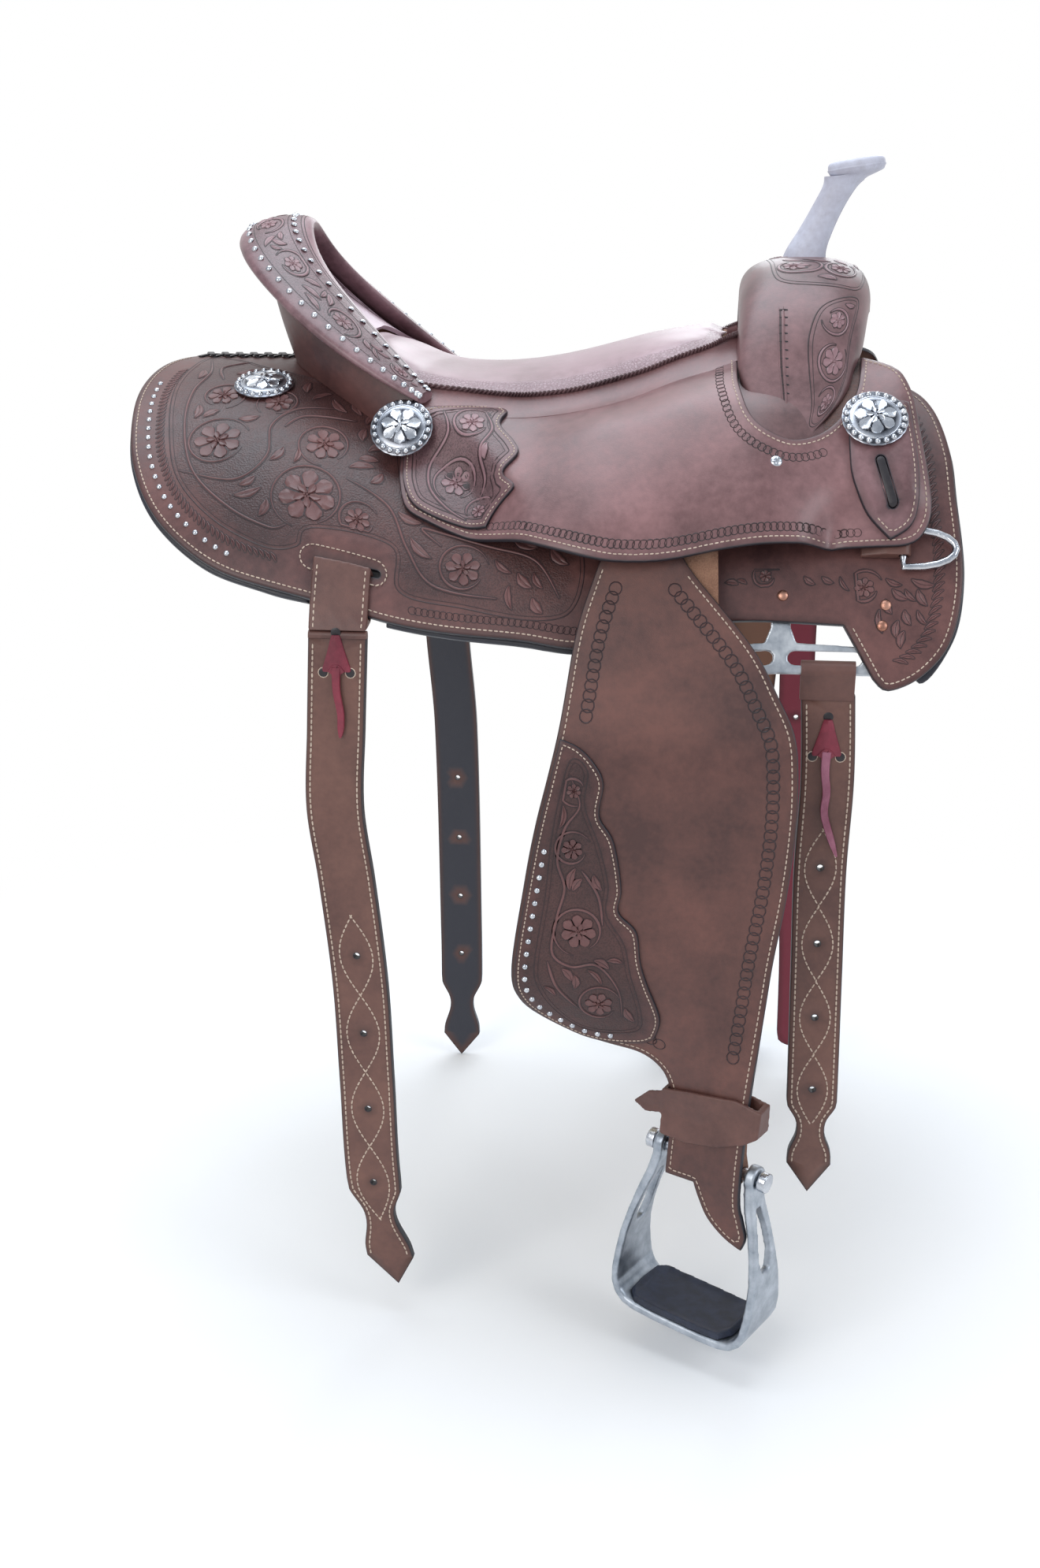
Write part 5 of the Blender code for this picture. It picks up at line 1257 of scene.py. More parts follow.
def facing_frame(x, girth, height):
    """Frame that faces out of the leather there, high enough for a disc to clear it."""
    reach = 26.2
    spot = lambda a, b: body_point(x + a, girth + b, height(x + a, girth + b))
    along = (spot(reach, 0) - spot(-reach, 0)).normalized()
    down = (spot(0, reach) - spot(0, -reach)).normalized()
    out = along.cross(down).normalized()
    if out.z < 0:
        out = -out
    across = out.cross(along).normalized()
    middle = spot(0, 0)
    ring = [spot(reach * cos(k * pi / 6), reach * sin(k * pi / 6)) for k in range(12)] + [middle]
    lift = max((p - middle).dot(out) for p in ring)
    return Matrix.Translation(middle + out * lift) @ Matrix((along, across, out)).transposed().to_4x4()


OVER_OVERLAY = LAYER_GAP + OVERLAY_THICK + CONCHO_GAP
OVER_TAB = LAYER_GAP + TAB_THICK + CONCHO_GAP
CONCHO_PLACES = (("rear", -259, 100, lambda x, g: SKIRT_THICK + CONCHO_GAP),
                 ("middle", -122, 159, lambda x, g: jockey_high(x, g) + OVER_OVERLAY),
                 ("front", 274, 187, lambda x, g: jockey_high(x, g) + OVER_TAB))
DISC_ROWS = ((25.6, -0.2), (26.6, 0.5), (26.6, 1.5), (25.2, 2.3), (21.6, 2.4), (20.6, 3.2), (19.4, 3.5),
             (16, 4.3), (12, 5.3), (8, 6.0), (4, 6.3), (0.6, 6.4))


def build_conchos(name, side):
    """Scalloped silver disc with a ring of beads and an engraved, domed middle."""
    for place, x, girth, height in CONCHO_PLACES:
        spot = facing_frame(x, girth, height)
        rings = []
        ground = []
        for r, h in DISC_ROWS:
            ring = []
            for a in angles(DISC_SIDES):
                scallop = 1 + (0.016 * abs(sin(a * BEADS / 2)) if r > 21 else 0)
                ring.append(spot @ Vector((r * scallop * cos(a), r * scallop * sin(a), h)))
            rings.append(ring)
            ground += [1.0 if r < ENGRAVED else 0.9 if 21 < r < 25.5 else 0.0] * DISC_SIDES
        ending = place + "_" + name
        solid("concho_disc_" + ending, *loft(rings), CONCHO_LOOK, "saddle", STEEL, side,
              marks={"ground": ground}, stands_for=["concho_" + ending])
        dome = list(reversed(DISC_ROWS))
        surface = lambda a, b, lift: spot @ Vector((a, b, piecewise(dome, hypot(a, b)) + lift))
        parts = flower_parts(Vector((0, 0)), 17.5, 0.3, surface, level, 0.9, None)
        rim = [Vector((ENGRAVED * cos(a), ENGRAVED * sin(a))) * 1.08 for a in angles(40)]
        parts.append(relief(rim + rim[:1], [(0, 0.8), (1, 0.8)], 0.9, surface, level))
        merged("concho_engraving_" + ending, parts, SILVER_LOOK, "saddle", STEEL, side)
        out = (spot.to_3x3() @ Vector((0, 0, 1))).normalized()
        beads = [(spot @ Vector((BEAD_RING * cos(a), BEAD_RING * sin(a), 2.2)), out) for a in angles(BEADS)]
        merged("concho_beads_" + ending, dome_parts(beads, 2.7, 2.5, 12), SILVER_LOOK, "saddle", STEEL, side)


def build_hardware(name):
    for node, piece, look, slot, voxel, smooth in (
            ("stirrup_", "stirrup_casting_", ALUMINIUM_LOOK, "satin_aluminium", 1.4, 4),
            ("stirrup_bolt_", "stirrup_pin_", SILVER_LOOK, STEEL, 1.0, 3),
            ("tread_pad_", "tread_rubber_", RUBBER_LOOK, "black_rubber", 1.1, 4),
            ("breast_dee_", "breast_ring_", SILVER_LOOK, STEEL, 0.8, 3),
            ("dee_keeper_", "dee_strap_", HOBBLE_LOOK, LEATHER, 0.9, 3),
            ("rigging_plate_", "plate_steel_", STEEL_LOOK, STEEL, 0.9, 2),
            ("hobble_strap_", "hobble_leather_", HOBBLE_LOOK, LEATHER, 1.1, 3)):
        cast(node + name, piece + name, look, voxel, smooth)
    dress("stirrup_leather_" + name, SUEDE_LOOK)
    dress("tree_bar_" + name, FORK_LOOK)


def dress(node, look):
    """Give a node of the frame its finish."""
    obj = frame["nodes"][node]
    for s in obj.material_slots:
        s.material = look


# The photograph's viewpoint, the floor and the lamps

def paper_look():
    """White paper that fades into a plain white glow away from the saddle."""
    look = Look("studio_paper", Base_Color=(0.9, 0.9, 0.9, 1), Roughness=0.95, Specular_IOR_Level=0.1)
    offset = look.node("ShaderNodeVectorMath", {0: look.place, 1: (0, 0, -FLOOR_Z)}).outputs[0]
    reach = look.node("ShaderNodeVectorMath", {0: offset}, operation="LENGTH").outputs["Value"]
    fade = look.node("ShaderNodeMapRange", {"Value": reach, "From Min": 0.35, "From Max": 1.25},
                     interpolation_type="SMOOTHSTEP").outputs[0]
    rays = look.node("ShaderNodeLightPath").outputs
    seen = look.sum(rays["Is Camera Ray"], rays["Is Glossy Ray"], "MAXIMUM")
    glow = look.node("ShaderNodeEmission", {"Color": (1, 1, 1, 1)}).outputs[0]
    both = look.node("ShaderNodeMixShader", {0: look.times(seen, fade), 1: look.shader.outputs[0], 2: glow})
    look.tree.links.new(both.outputs[0], look.tree.nodes["Material Output"].inputs["Surface"])
    return look.mat


def build_stage():
    pitch, yaw = radians(17), radians(6.7)
    ahead = Vector((-sin(yaw) * cos(pitch), cos(yaw) * cos(pitch), -sin(pitch)))
    right = Vector((cos(yaw), sin(yaw), 0))
    up = right.cross(ahead)
    camera = placed("camera", bpy.data.cameras.new("camera"))
    camera.matrix_world = Matrix.Translation(Vector((0.1545, -1.6561, 0.1102))) @ Matrix(
        (right, up, -ahead)).transposed().to_4x4()
    camera.data.lens = 39.8
    camera.data.clip_start = 0.05
    camera.data.clip_end = 60
    bpy.context.scene.camera = camera
    line = [(-3.0, FLOOR_Z), (2.2, FLOOR_Z)]
    line += [(2.2 + 1.8 * sin(a), FLOOR_Z + 1.8 - 1.8 * cos(a))
             for a in (radians(k * 10) for k in range(1, 10))]
    line += [(4.0, 6.0)]
    verts = [(x, y, z) for y, z in line for x in (-7, 7)]
    faces = [(k, k + 1, k + 3, k + 2) for k in range(0, len(verts) - 2, 2)]
    mesh = bpy.data.meshes.new("studio_sweep")
    mesh.from_pydata(verts, [], faces)
    mesh.shade_smooth()
    sweep = placed("studio_sweep", mesh)
    mesh.materials.append(paper_look())
    world = bpy.data.worlds.new("studio")
    bpy.context.scene.world = world
    world.use_nodes = True
    back = world.node_tree.nodes["Background"]
    back.inputs["Color"].default_value = (0.86, 0.92, 1.0, 1)
    back.inputs["Strength"].default_value = 0.62
    for name, place, aim, size, power, colour in (
            ("top_lamp", (-0.3, 0.3, 2.4), (-0.02, 0, -0.1), 2.2, 62, (0.86, 0.93, 1.0)),
            ("front_lamp", (-1.3, -2.6, 1.0), (0, 0, -0.3), 1.6, 34, (1.0, 0.97, 0.93)),
            ("right_lamp", (2.2, -1.2, 0.9), (0.1, 0, -0.2), 1.4, 20, (0.93, 0.96, 1.0)),
            ("rear_lamp", (0.5, 2.6, 1.4), (0, 0, -0.2), 1.6, 22, (0.9, 0.95, 1.0))):
        data = bpy.data.lights.new(name, "AREA")
        data.energy = power
        data.size = size
        data.color = colour
        lamp = placed(name, data)
        lamp.location = place
        lamp.rotation_euler = (Vector(aim) - Vector(place)).to_track_quat("-Z", "Y").to_euler()
    bpy.context.scene.view_settings.view_transform = "Standard"


# Stitching, nails, stamping and carving. The carving is a common scroll of flowers, stems and leaves.

STEM = ((-1, -0.5), (-0.55, 0.8), (0, 1), (0.55, 0.8), (1, -0.5), (0, -0.7))
LEAF = ((-1, -0.5), (-0.84, 0.75), (-0.4, 1), (0, 0.15), (0.4, 1), (0.84, 0.75), (1, -0.5), (0, -0.7))
PETAL = ((-1, -0.5), (-0.82, 1), (-0.3, 0.5), (0.3, 0.5), (0.82, 1), (1, -0.5), (0, -0.7))
TENT = ((-1, -0.1), (-0.97, 0.4), (0, 1), (0.97, 0.4), (1, -0.1), (0, -0.3))
FLAT = ((-1, -0.5), (-0.96, 0.8), (0.96, 0.8), (1, -0.5), (0, -0.7))


def cut_round(cuts, line, widths, surface, high, more=0.9):
    """Dark cut that shows all round a raised strip."""
    if cuts is not None:
        run = (line[0] - line[1]).normalized() * more, (line[-1] - line[-2]).normalized() * more
        longer = [line[0] + run[0]] + line + [line[-1] + run[1]]
        count = len(line)
        wide = [(0, 0.5)] + [(mix(1, count, t) / (count + 1), w + more) for t, w in widths] + [(1, 0.3)]
        cuts.append(relief(longer, wide, 0.3, surface, high, FLAT))


def relief(line, widths, rise, surface, high, profile=STEM):
    """Raised strip along a line of flat points; widths gives half its width along it."""
    rings = []
    for i, p in enumerate(line):
        run = run_at(line, i)
        beside = Vector((-run.y, run.x))
        half = max(piecewise(widths, i / (len(line) - 1)), 0.12)
        top = rise * min(1, half / 1.1)
        rings.append([laid(surface, high, p + beside * half * across, up * top if up > 0 else up * 0.5)
                      for across, up in profile])
    return loft(rings)


def leaf_line(start, angle, length, bend, count=8):
    line = []
    p = Vector(start)
    for k in range(count):
        line.append(p.copy())
        a = angle + bend * k / (count - 1)
        p += heading(a) * length / (count - 1)
    return line


def flower_parts(centre, radius, turn, surface, high, rise, cuts):
    parts = []
    for k in range(7):
        a = turn + 2 * pi * k / 7
        line = leaf_line(centre + heading(a) * radius * 0.3, a, radius * 0.68, 0.25, 6)
        widths = [(0, radius * 0.12), (0.6, radius * 0.32), (0.88, radius * 0.27), (1, radius * 0.08)]
        parts.append(relief(line, widths, rise, surface, high, PETAL))
        cut_round(cuts, line, widths, surface, high)
    for k in range(5):
        a = turn + 0.4 + 2 * pi * k / 5
        line = leaf_line(centre + heading(a) * radius * 0.1, a, radius * 0.38, -0.4, 5)
        widths = [(0, radius * 0.06), (0.6, radius * 0.17), (1, radius * 0.05)]
        parts.append(relief(line, widths, rise * 1.7, surface, high, PETAL))
    for k, a in enumerate(angles(6)):
        q = centre + heading(a) * radius * (0.1 if k else 0)
        out = (laid(surface, high, q, 1) - laid(surface, high, q)).normalized()
        parts += dome_parts([(laid(surface, high, q, rise * 0.9), out)], radius * 0.055, rise, 6,
                            ((1, -0.5), (0.8, 0.5)))
    return parts


def scroll_parts(flowers, region, surface, high, rise=0.8, size=17.0, bare=(), cuts=None, stems=()):
    """Flowers ringed by stems, with leaves that swirl off them until the region is full."""
    parts = []
    for number, (x, y, radius, turn) in enumerate(flowers):
        centre = Vector((x, y))
        parts += flower_parts(centre, radius, turn, surface, high, rise, cuts)
        way = 1 if number % 2 == 0 else -1
        ring = [centre + heading(turn + way * a) * (radius + 2.2 + 0.9 * a)
                for a in (k * 0.24 for k in range(24))]
        ring = [p for p in ring if within(region, [p])[0]]
        if len(ring) > 5:
            widths = [(0, 0.3), (0.25, 1.3), (0.8, 1.0), (1, 0.2)]
            parts.append(relief(ring, widths, rise, surface, high))
            cut_round(cuts, ring, widths, surface, high, 0.7)
    taken = []
    for points in stems:
        line = eased(points, 8 * len(points))
        taken += line
        widths = [(0, 0.3), (0.2, 1.3), (0.8, 1.2), (1, 0.3)]
        parts.append(relief(line, widths, rise, surface, high))
        cut_round(cuts, line, widths, surface, high)
    xs, ys = [p.x for p in region], [p.y for p in region]
    across, down = size * 0.6, size * 0.5
    for j in range(int((max(ys) - min(ys)) / down) + 1):
        for i in range(int((max(xs) - min(xs)) / across) + 1):
            start = Vector((min(xs) + (i + (j % 2) * 0.5) * across, min(ys) + j * down))
            reach, near, way = min(
                ((start - Vector((x, y))).length - r, Vector((x, y)), 1 if k % 2 == 0 else -1)
                for k, (x, y, r, _) in enumerate(flowers))
            if reach < 6:
                continue
            away = start - near
            angle = atan2(away.y, away.x) + way * (1.15 + 0.35 * sin(i * 2.3 + j * 1.7))
            length = size * (0.95 + 0.2 * sin(i * 1.3 + j * 2.9))
            line = leaf_line(start, angle, length, -way * 0.9)
            if not all(within(region, line)) or min(rim_distance([region], line)) < 1.6:
                continue
            if any((p - Vector((x, y))).length < r + 6 for x, y, r, _ in flowers for p in line):
                continue
            if taken and min((p - q).length for p in taken for q in line) < size * 0.19:
                continue
            taken += line[::2]
            if any((p - Vector((x, y))).length < r for x, y, r in bare for p in line):
                continue
            half = size * (0.21 if (i + j) % 3 else 0.14)
            widths = [(0, half * 0.15), (0.4, half), (0.75, half * 0.7), (1, 0.1)]
            parts.append(relief(line, widths, rise, surface, high, LEAF))
            cut_round(cuts, line, widths, surface, high)
    return parts


def border_parts(loop, surface, high):
    """Two cut lines round carved leather."""
    parts = []
    for line, half in ((loop, 0.75), (inset_line(loop, 3.2), 0.5)):
        if len(line) > 2:
            parts.append(relief(line + line[:1], [(0, half), (1, half)], 0.4, surface, high))
    return parts


def stretches(line, keep, most=14):
    """The runs of a closed line where keep holds, each without a jump."""
    found, run = [], []
    for p in line + line[:1]:
        if keep(p) and (not run or (p - run[-1]).length < most):
            run.append(p)
        else:
            if len(run) > 2:
                found.append(run)
            run = [p] if keep(p) else []
    if len(run) > 2:
        found.append(run)
    return found


def along_rim(line, depth, keep, make, *args, **options):
    """What make builds along the kept runs of a line that lies inside an outline by depth."""
    parts = []
    for run in stretches(inset_line(line, depth), keep):
        parts += make(run, *args, **options)
    return parts


def nail_spots(line, count, surface, high):
    """Evenly spread places for nails along a line, with the way out of the leather."""
    length = sum((b - a).length for a, b in zip(line, line[1:]))
    spots = []
    for p, _ in spaced(line, length / (count - 0.99)):
        here = laid(surface, high, p)
        spots.append((here, (laid(surface, high, p, 1) - here).normalized()))
    return spots


def between(line, start, end):
    """The part of a closed line that runs from near start to near end, the shorter way."""
    def nearest(spot):
        return min(range(len(line)), key=lambda i: (line[i] - Vector(spot)).length)
    a, b = nearest(start), nearest(end)
    forward = [line[(a + k) % len(line)] for k in range((b - a) % len(line) + 1)]
    back = [line[(a - k) % len(line)] for k in range((a - b) % len(line) + 1)]
    return forward if len(forward) <= len(back) else back


def chain_parts(line, surface, high, radius=3.3, gap=5.2, thick=0.5):
    return ring_parts(spaced(line, gap), radius, thick, surface, high, 1.05, 12)


def comb_parts(line, surface, high, gap=4.6, length=9.0, lean=0.8, cuts=None):
    """Slanting leaf stamps beside each other along a line."""
    parts = []
    for p, run in spaced(line, gap):
        angle = atan2(run.y, run.x) + lean
        start = p - heading(angle) * length / 2
        stamp = leaf_line(start, angle - 0.3, length, 0.7, 5)
        widths = [(0, 0.4), (0.5, 1.7), (1, 0.4)]
        parts.append(relief(stamp, widths, 0.7, surface, high, LEAF))
        cut_round(cuts, stamp, widths, surface, high, 0.7)
    return parts


SKIRT_FLOWERS = ((-284, 180, 21, 0.3), (-197, 232, 25, 1.1), (-292, 118, 14, 2.0), (-190, 176, 17, 0.8),
                 (-152, 246, 11, 0.2), (-240, 128, 13, 1.5), (-60, 272, 15, 0.5))
SKIRT_STEMS = (
    ((-326, 34), (-316, 74), (-322, 112), (-318, 160), (-300, 214), (-262, 250), (-226, 266), (-212, 262)),
    ((-312, 214), (-262, 222), (-238, 196), (-240, 160), (-222, 136), (-190, 128)),
    ((-300, 88), (-308, 60), (-286, 40)),
    ((-228, 160), (-212, 144), (-168, 140)),
    ((-166, 208), (-128, 226), (-108, 262), (-84, 290), (-30, 296)),
    ((-80, 254), (-96, 240), (-40, 250), (0, 262), (22, 296)))
SKIRT_CORNER = vectors(((262, 296), (306, 300), (330, 300), (322, 352), (300, 372), (285, 360), (272, 336),
                        (262, 320)))
SKIRT_FRONT = vectors(((146, 300), (200, 298), (262, 300), (262, 318), (222, 312), (146, 312)))
SLOT_LINING = vectors(((-139, 277), (-118, 277), (-118, 303), (-139, 303)))


def build_skirt_details(name, side):
    parts = along_rim(SKIRT_LINE, 5.5, lambda p: p.y > 14 and not (132 < p.x < 262 and p.y > 330),
                      stitch_parts, body_point, skirt_high, pitch=4.6, thick=0.62, length=3.4)
    round_slot = slot_loop(-160, 288, 37, 11, radians(2))
    parts += stitch_parts(round_slot, body_point, skirt_high, True, pitch=4.4, thick=0.62, length=3.2)
    merged("skirt_stitches_" + name, parts, THREAD_LOOK, side=side)
    row = between(inset_line(SKIRT_LINE, 16), (-357, 98), (-258.7, 288))
    merged("skirt_nails_" + name, dome_parts(nail_spots(row, 21, body_point, skirt_high), 2.6, 2.0),
           SILVER_LOOK, "saddle", STEEL, side)
    cuts = []
    row = between(inset_line(SKIRT_LINE, 26), (-338, 66), (-214, 290))
    parts = comb_parts(row, body_point, skirt_high, 5.4, 10, cuts=cuts)
    parts += along_rim(SKIRT_LINE, 19, lambda p: p.x > 300 and 125 < p.y < 372,
                       comb_parts, body_point, skirt_high, 6.5, 12, cuts=cuts)
    merged("skirt_stamping_" + name, parts, SCROLL_LOOK, side=side)
    region = smooth_loop([tuple(p) for p in SKIRT_REAR_TOOLED], 4)
    parts = scroll_parts(SKIRT_FLOWERS, inset_line(region, 3.5), body_point, skirt_high, 0.9, 22,
                         bare=((-259, 100, 29),), cuts=cuts, stems=SKIRT_STEMS)
    parts += scroll_parts([(270, 312, 8, 0.3)], SKIRT_CORNER, body_point, skirt_high, 0.8, 17, cuts=cuts)
    parts += scroll_parts([(190, 304, 5, 0.3)], SKIRT_FRONT, body_point, skirt_high, 0.7, 12, cuts=cuts)
    merged("skirt_carving_" + name, parts, SCROLL_LOOK, side=side)
    cuts += along_rim(SKIRT_LINE, 14, lambda p: -100 < p.x < 100 and p.y > 280,
                      chain_parts, body_point, skirt_high)
    cuts += border_parts(region, body_point, skirt_high)
    merged("skirt_cuts_" + name, cuts, CUT_LOOK, side=side)
    sheet("slot_lining_" + name, SLOT_LINING, body_point, lambda a, b: -1, lambda a, b: 1, BLACK_LACE_LOOK,
          "saddle", side, step=6, edge=0.4)
    spots = [(body_point(x, s, 8.2), (body_point(x, s, 9) - body_point(x, s, 8)).normalized())
             for x, s in ((204.5, 320), (287.5, 326), (285, 343))]
    rivets = dome_parts(spots, 4.6, 1.8, 14)
    merged("skirt_rivets_" + name, rivets, COPPER_LOOK, "saddle", STEEL, side)


OVERLAY_FLOWERS = ((-62, 150, 11, 0.4), (-72, 196, 13, 1.2), (-50, 224, 6, 0.2))
OVERLAY_STEMS = (((-52, 136), (-44, 156), (-52, 178), (-46, 200), (-52, 214)),
                 ((-88, 140), (-82, 160), (-96, 178), (-94, 204), (-78, 222), (-60, 232)))
SCREW_ROWS = ((9.4, -0.6), (9.6, 0.5), (8.6, 1.5), (7.2, 1.7), (6.2, 0.9), (5.4, 0.9), (5.0, 2.0), (3.6, 2.9),
              (1.6, 3.2), (0.4, 3.2))


def build_jockey_details(name, side):
    high = over_jockey(OVERLAY_THICK)
    tab_high = over_jockey(TAB_THICK)
    parts = along_rim(JOCKEY_LINE, 4.6, lambda p: p.y > 99 and not (-120 < p.x < 150 and p.y < 125),
                      stitch_parts, body_point, jockey_high, pitch=4.3, thick=0.6, length=3.1)
    parts += along_rim(OVERLAY_LINE, 3.4, lambda p: True,
                       stitch_parts, body_point, high, pitch=3.4, thick=0.55, length=2.4)
    parts += along_rim(TAB_LINE, 4, lambda p: p.x > 276 or p.y < 200,
                       stitch_parts, body_point, tab_high, pitch=4.2, thick=0.55, length=3)
    merged("jockey_stitches_" + name, parts, THREAD_LOOK, side=side)
    cuts = along_rim(JOCKEY_LINE, 11.5, lambda p: p.y > (252 if p.x > 60 else 226) and p.x < 262,
                     chain_parts, body_point, jockey_high)
    cuts += along_rim(JOCKEY_LINE, 15, lambda p: 128 < p.x < 236 and 100 < p.y < 236,
                      chain_parts, body_point, jockey_high)
    region = inset_line(OVERLAY_LINE, 8)
    parts = scroll_parts(OVERLAY_FLOWERS, inset_line(region, 1.5), body_point, high, 0.75, 17,
                         bare=((-122, 159, 28),), cuts=cuts, stems=OVERLAY_STEMS)
    merged("overlay_carving_" + name, parts, SCROLL_PALE_LOOK, side=side)
    cuts += border_parts(region, body_point, high)
    merged("jockey_cuts_" + name, cuts, CUT_LOOK, side=side)
    sheet("tab_slot_lining_" + name, slot_loop(284, 236, 20, 3.4, radians(72)), body_point, jockey_high,
          over_jockey(TAB_THICK - 0.9), BLACK_LACE_LOOK, "saddle", side, step=6, edge=0.4)
    spot = facing_frame(195, 227, jockey_high)
    rings = []
    for r, h in SCREW_ROWS:
        rings.append([spot @ Vector((r * cos(a), r * sin(a),
                                     h - 0.6 * (1 if r < 3 and k % 9 == 0 else 0) - 2.2))
                      for k, a in enumerate(angles(36))])
    solid("jockey_screw_" + name, *loft(rings), SILVER_LOOK, "saddle", STEEL, side)


FENDER_CARVED = ((38, 226), (52, 234), (50, 262), (62, 296), (70, 330), (69, 356), (84, 382), (90, 410),
                 (100, 446), (97, 466), (66, 474), (44, 470), (26, 452), (13, 428), (9, 404), (18, 342),
                 (22, 300), (28, 262))
FENDER_FLOWERS = ((40, 300, 9, 0.3), (46, 372, 15, 1.0), (64, 440, 12, 0.5), (41, 250, 6, 0.2))
FENDER_STEMS = (((38, 238), (46, 262), (34, 282), (28, 310), (34, 334), (28, 360), (24, 392), (40, 404),
                 (62, 402), (80, 424), (84, 452)),
                ((48, 318), (62, 340), (66, 366)), ((20, 400), (28, 424), (46, 446)))


def build_fender_details(name, side):
    surface = hanging(name)
    body = name + "_fender"
    parts = along_rim(FENDER_LINE, 5, lambda p: p.y > 70,
                      stitch_parts, surface, fender_high, pitch=4.8, thick=0.62, length=3.5)
    parts += along_rim(FENDER_OVERLAY_LINE, 3.4, lambda p: True,
                       stitch_parts, surface, patch_high, pitch=3.8, thick=0.55, length=2.7)
    merged("fender_stitches_" + name, parts, THREAD_LOOK, body, side=side)
    cuts = along_rim(FENDER_LINE, 20, lambda p: 84 < p.y < (480 if p.x > 90 else 202),
                     chain_parts, surface, fender_high, 5.2, 8.2, 0.85)
    region = smooth_loop(FENDER_CARVED, 4)
    parts = scroll_parts(FENDER_FLOWERS, inset_line(region, 2), surface, patch_high, 0.85, 18, cuts=cuts,
                         stems=FENDER_STEMS)
    merged("fender_carving_" + name, parts, SCROLL_LOOK, body, side=side)
    cuts += border_parts(region, surface, patch_high)
    merged("fender_cuts_" + name, cuts, CUT_LOOK, body, side=side)
    row = between(inset_line(FENDER_OVERLAY_LINE, 9), (13, 303), (74, 476))
    nails = dome_parts(nail_spots(row, 20, surface, patch_high), 2.7, 2.0)
    merged("fender_nails_" + name, nails, SILVER_LOOK, body, STEEL, side)


def roll_face(u, v, lift):
    """The roll's upper face: u runs along it in millimetres, v across it from the rider outwards."""
    return roll_point(u / ROLL_RUN, acos(min(max(v / ROLL_HALF_WIDTH, -0.999), 0.999)), lift)


def dish_face(u, v, lift):
    here = dish_point(u / ROLL_RUN, v / 100)
    along = dish_point((u + 1) / ROLL_RUN, v / 100) - here
    out = along.cross(dish_point(u / ROLL_RUN, (v + 1) / 100) - here).normalized()
    return here + (out if out.dot(Vector((1, -here.y / 80, 0.6))) > 0 else -out) * lift


def level(a, b):
    return 0.0


def build_cantle_details():
    nails = []
    cuts = []
    for v, count, reach in ((25, 43, 228), (-16, 41, 226)):
        row = [Vector((mix(-reach, reach, k / 100), v)) for k in range(101)]
        nails += nail_spots(row, count, roll_face, level)
    merged("cantle_nails", dome_parts(nails, 3.0, 2.3, 12), SILVER_LOOK, "saddle", STEEL)
    flowers = [(u, 5 + 2 * (1 if k % 2 else -1), 7.5, k * 0.7)
               for k, u in enumerate((-184, -132, -80, -27, 27, 80, 132, 184))]
    region = [Vector((u, -9)) for u in range(-212, 213, 8)] + [Vector((u, 19)) for u in range(212, -213, -8)]
    parts = scroll_parts(flowers, region, roll_face, level, 0.7, 13, cuts=cuts)
    for v in (-10.5, 20.5, -22.5, -25.5):
        line = [Vector((u, v)) for u in range(-222, 223, 6)]
        cuts.append(relief(line, [(0, 0.5), (1, 0.5)], 0.4, roll_face, level))
    merged("cantle_roll_carving", parts, SCROLL_PALE_LOOK)
    crescent = [Vector((u, 92 - abs(u) * 0.12)) for u in range(-160, 161, 8)]
    crescent += [Vector((u, 34 + 26 * (u / 160) ** 2)) for u in range(160, -161, -8)]
    parts = scroll_parts([(-118, 66, 8, 0.2), (-78, 62, 10, 1.0), (-28, 62, 12, 0.5), (28, 62, 12, 1.4),
                          (78, 62, 10, 0.9), (118, 66, 8, 0.1)],
                         inset_line(crescent, 4), dish_face, level, 0.7, 16, cuts=cuts)
    merged("cantle_dish_carving", parts, DISH_SCROLL_SHEEN_LOOK)
    cuts += border_parts(crescent, dish_face, level)
    merged("cantle_cuts", cuts, CUT_LOOK)


def swell_face(u, v, lift):
    """The swell's skin: u runs up one side and down the other, v from its front foot to its rear foot."""
    return swell_point(u / 29, min(max(v / 51, 0.02), pi - 0.02), lift)


SWELL_PANEL = ((98, 34), (130, 30), (170, 24), (206, 22), (222, 30), (222, 52), (206, 64), (176, 72),
               (140, 74), (112, 66))
SWELL_CROWN = ((-84, 34), (-40, 28), (0, 26), (40, 28), (84, 34), (92, 60), (84, 96), (40, 104), (0, 106),
               (-40, 104), (-84, 96), (-92, 60))


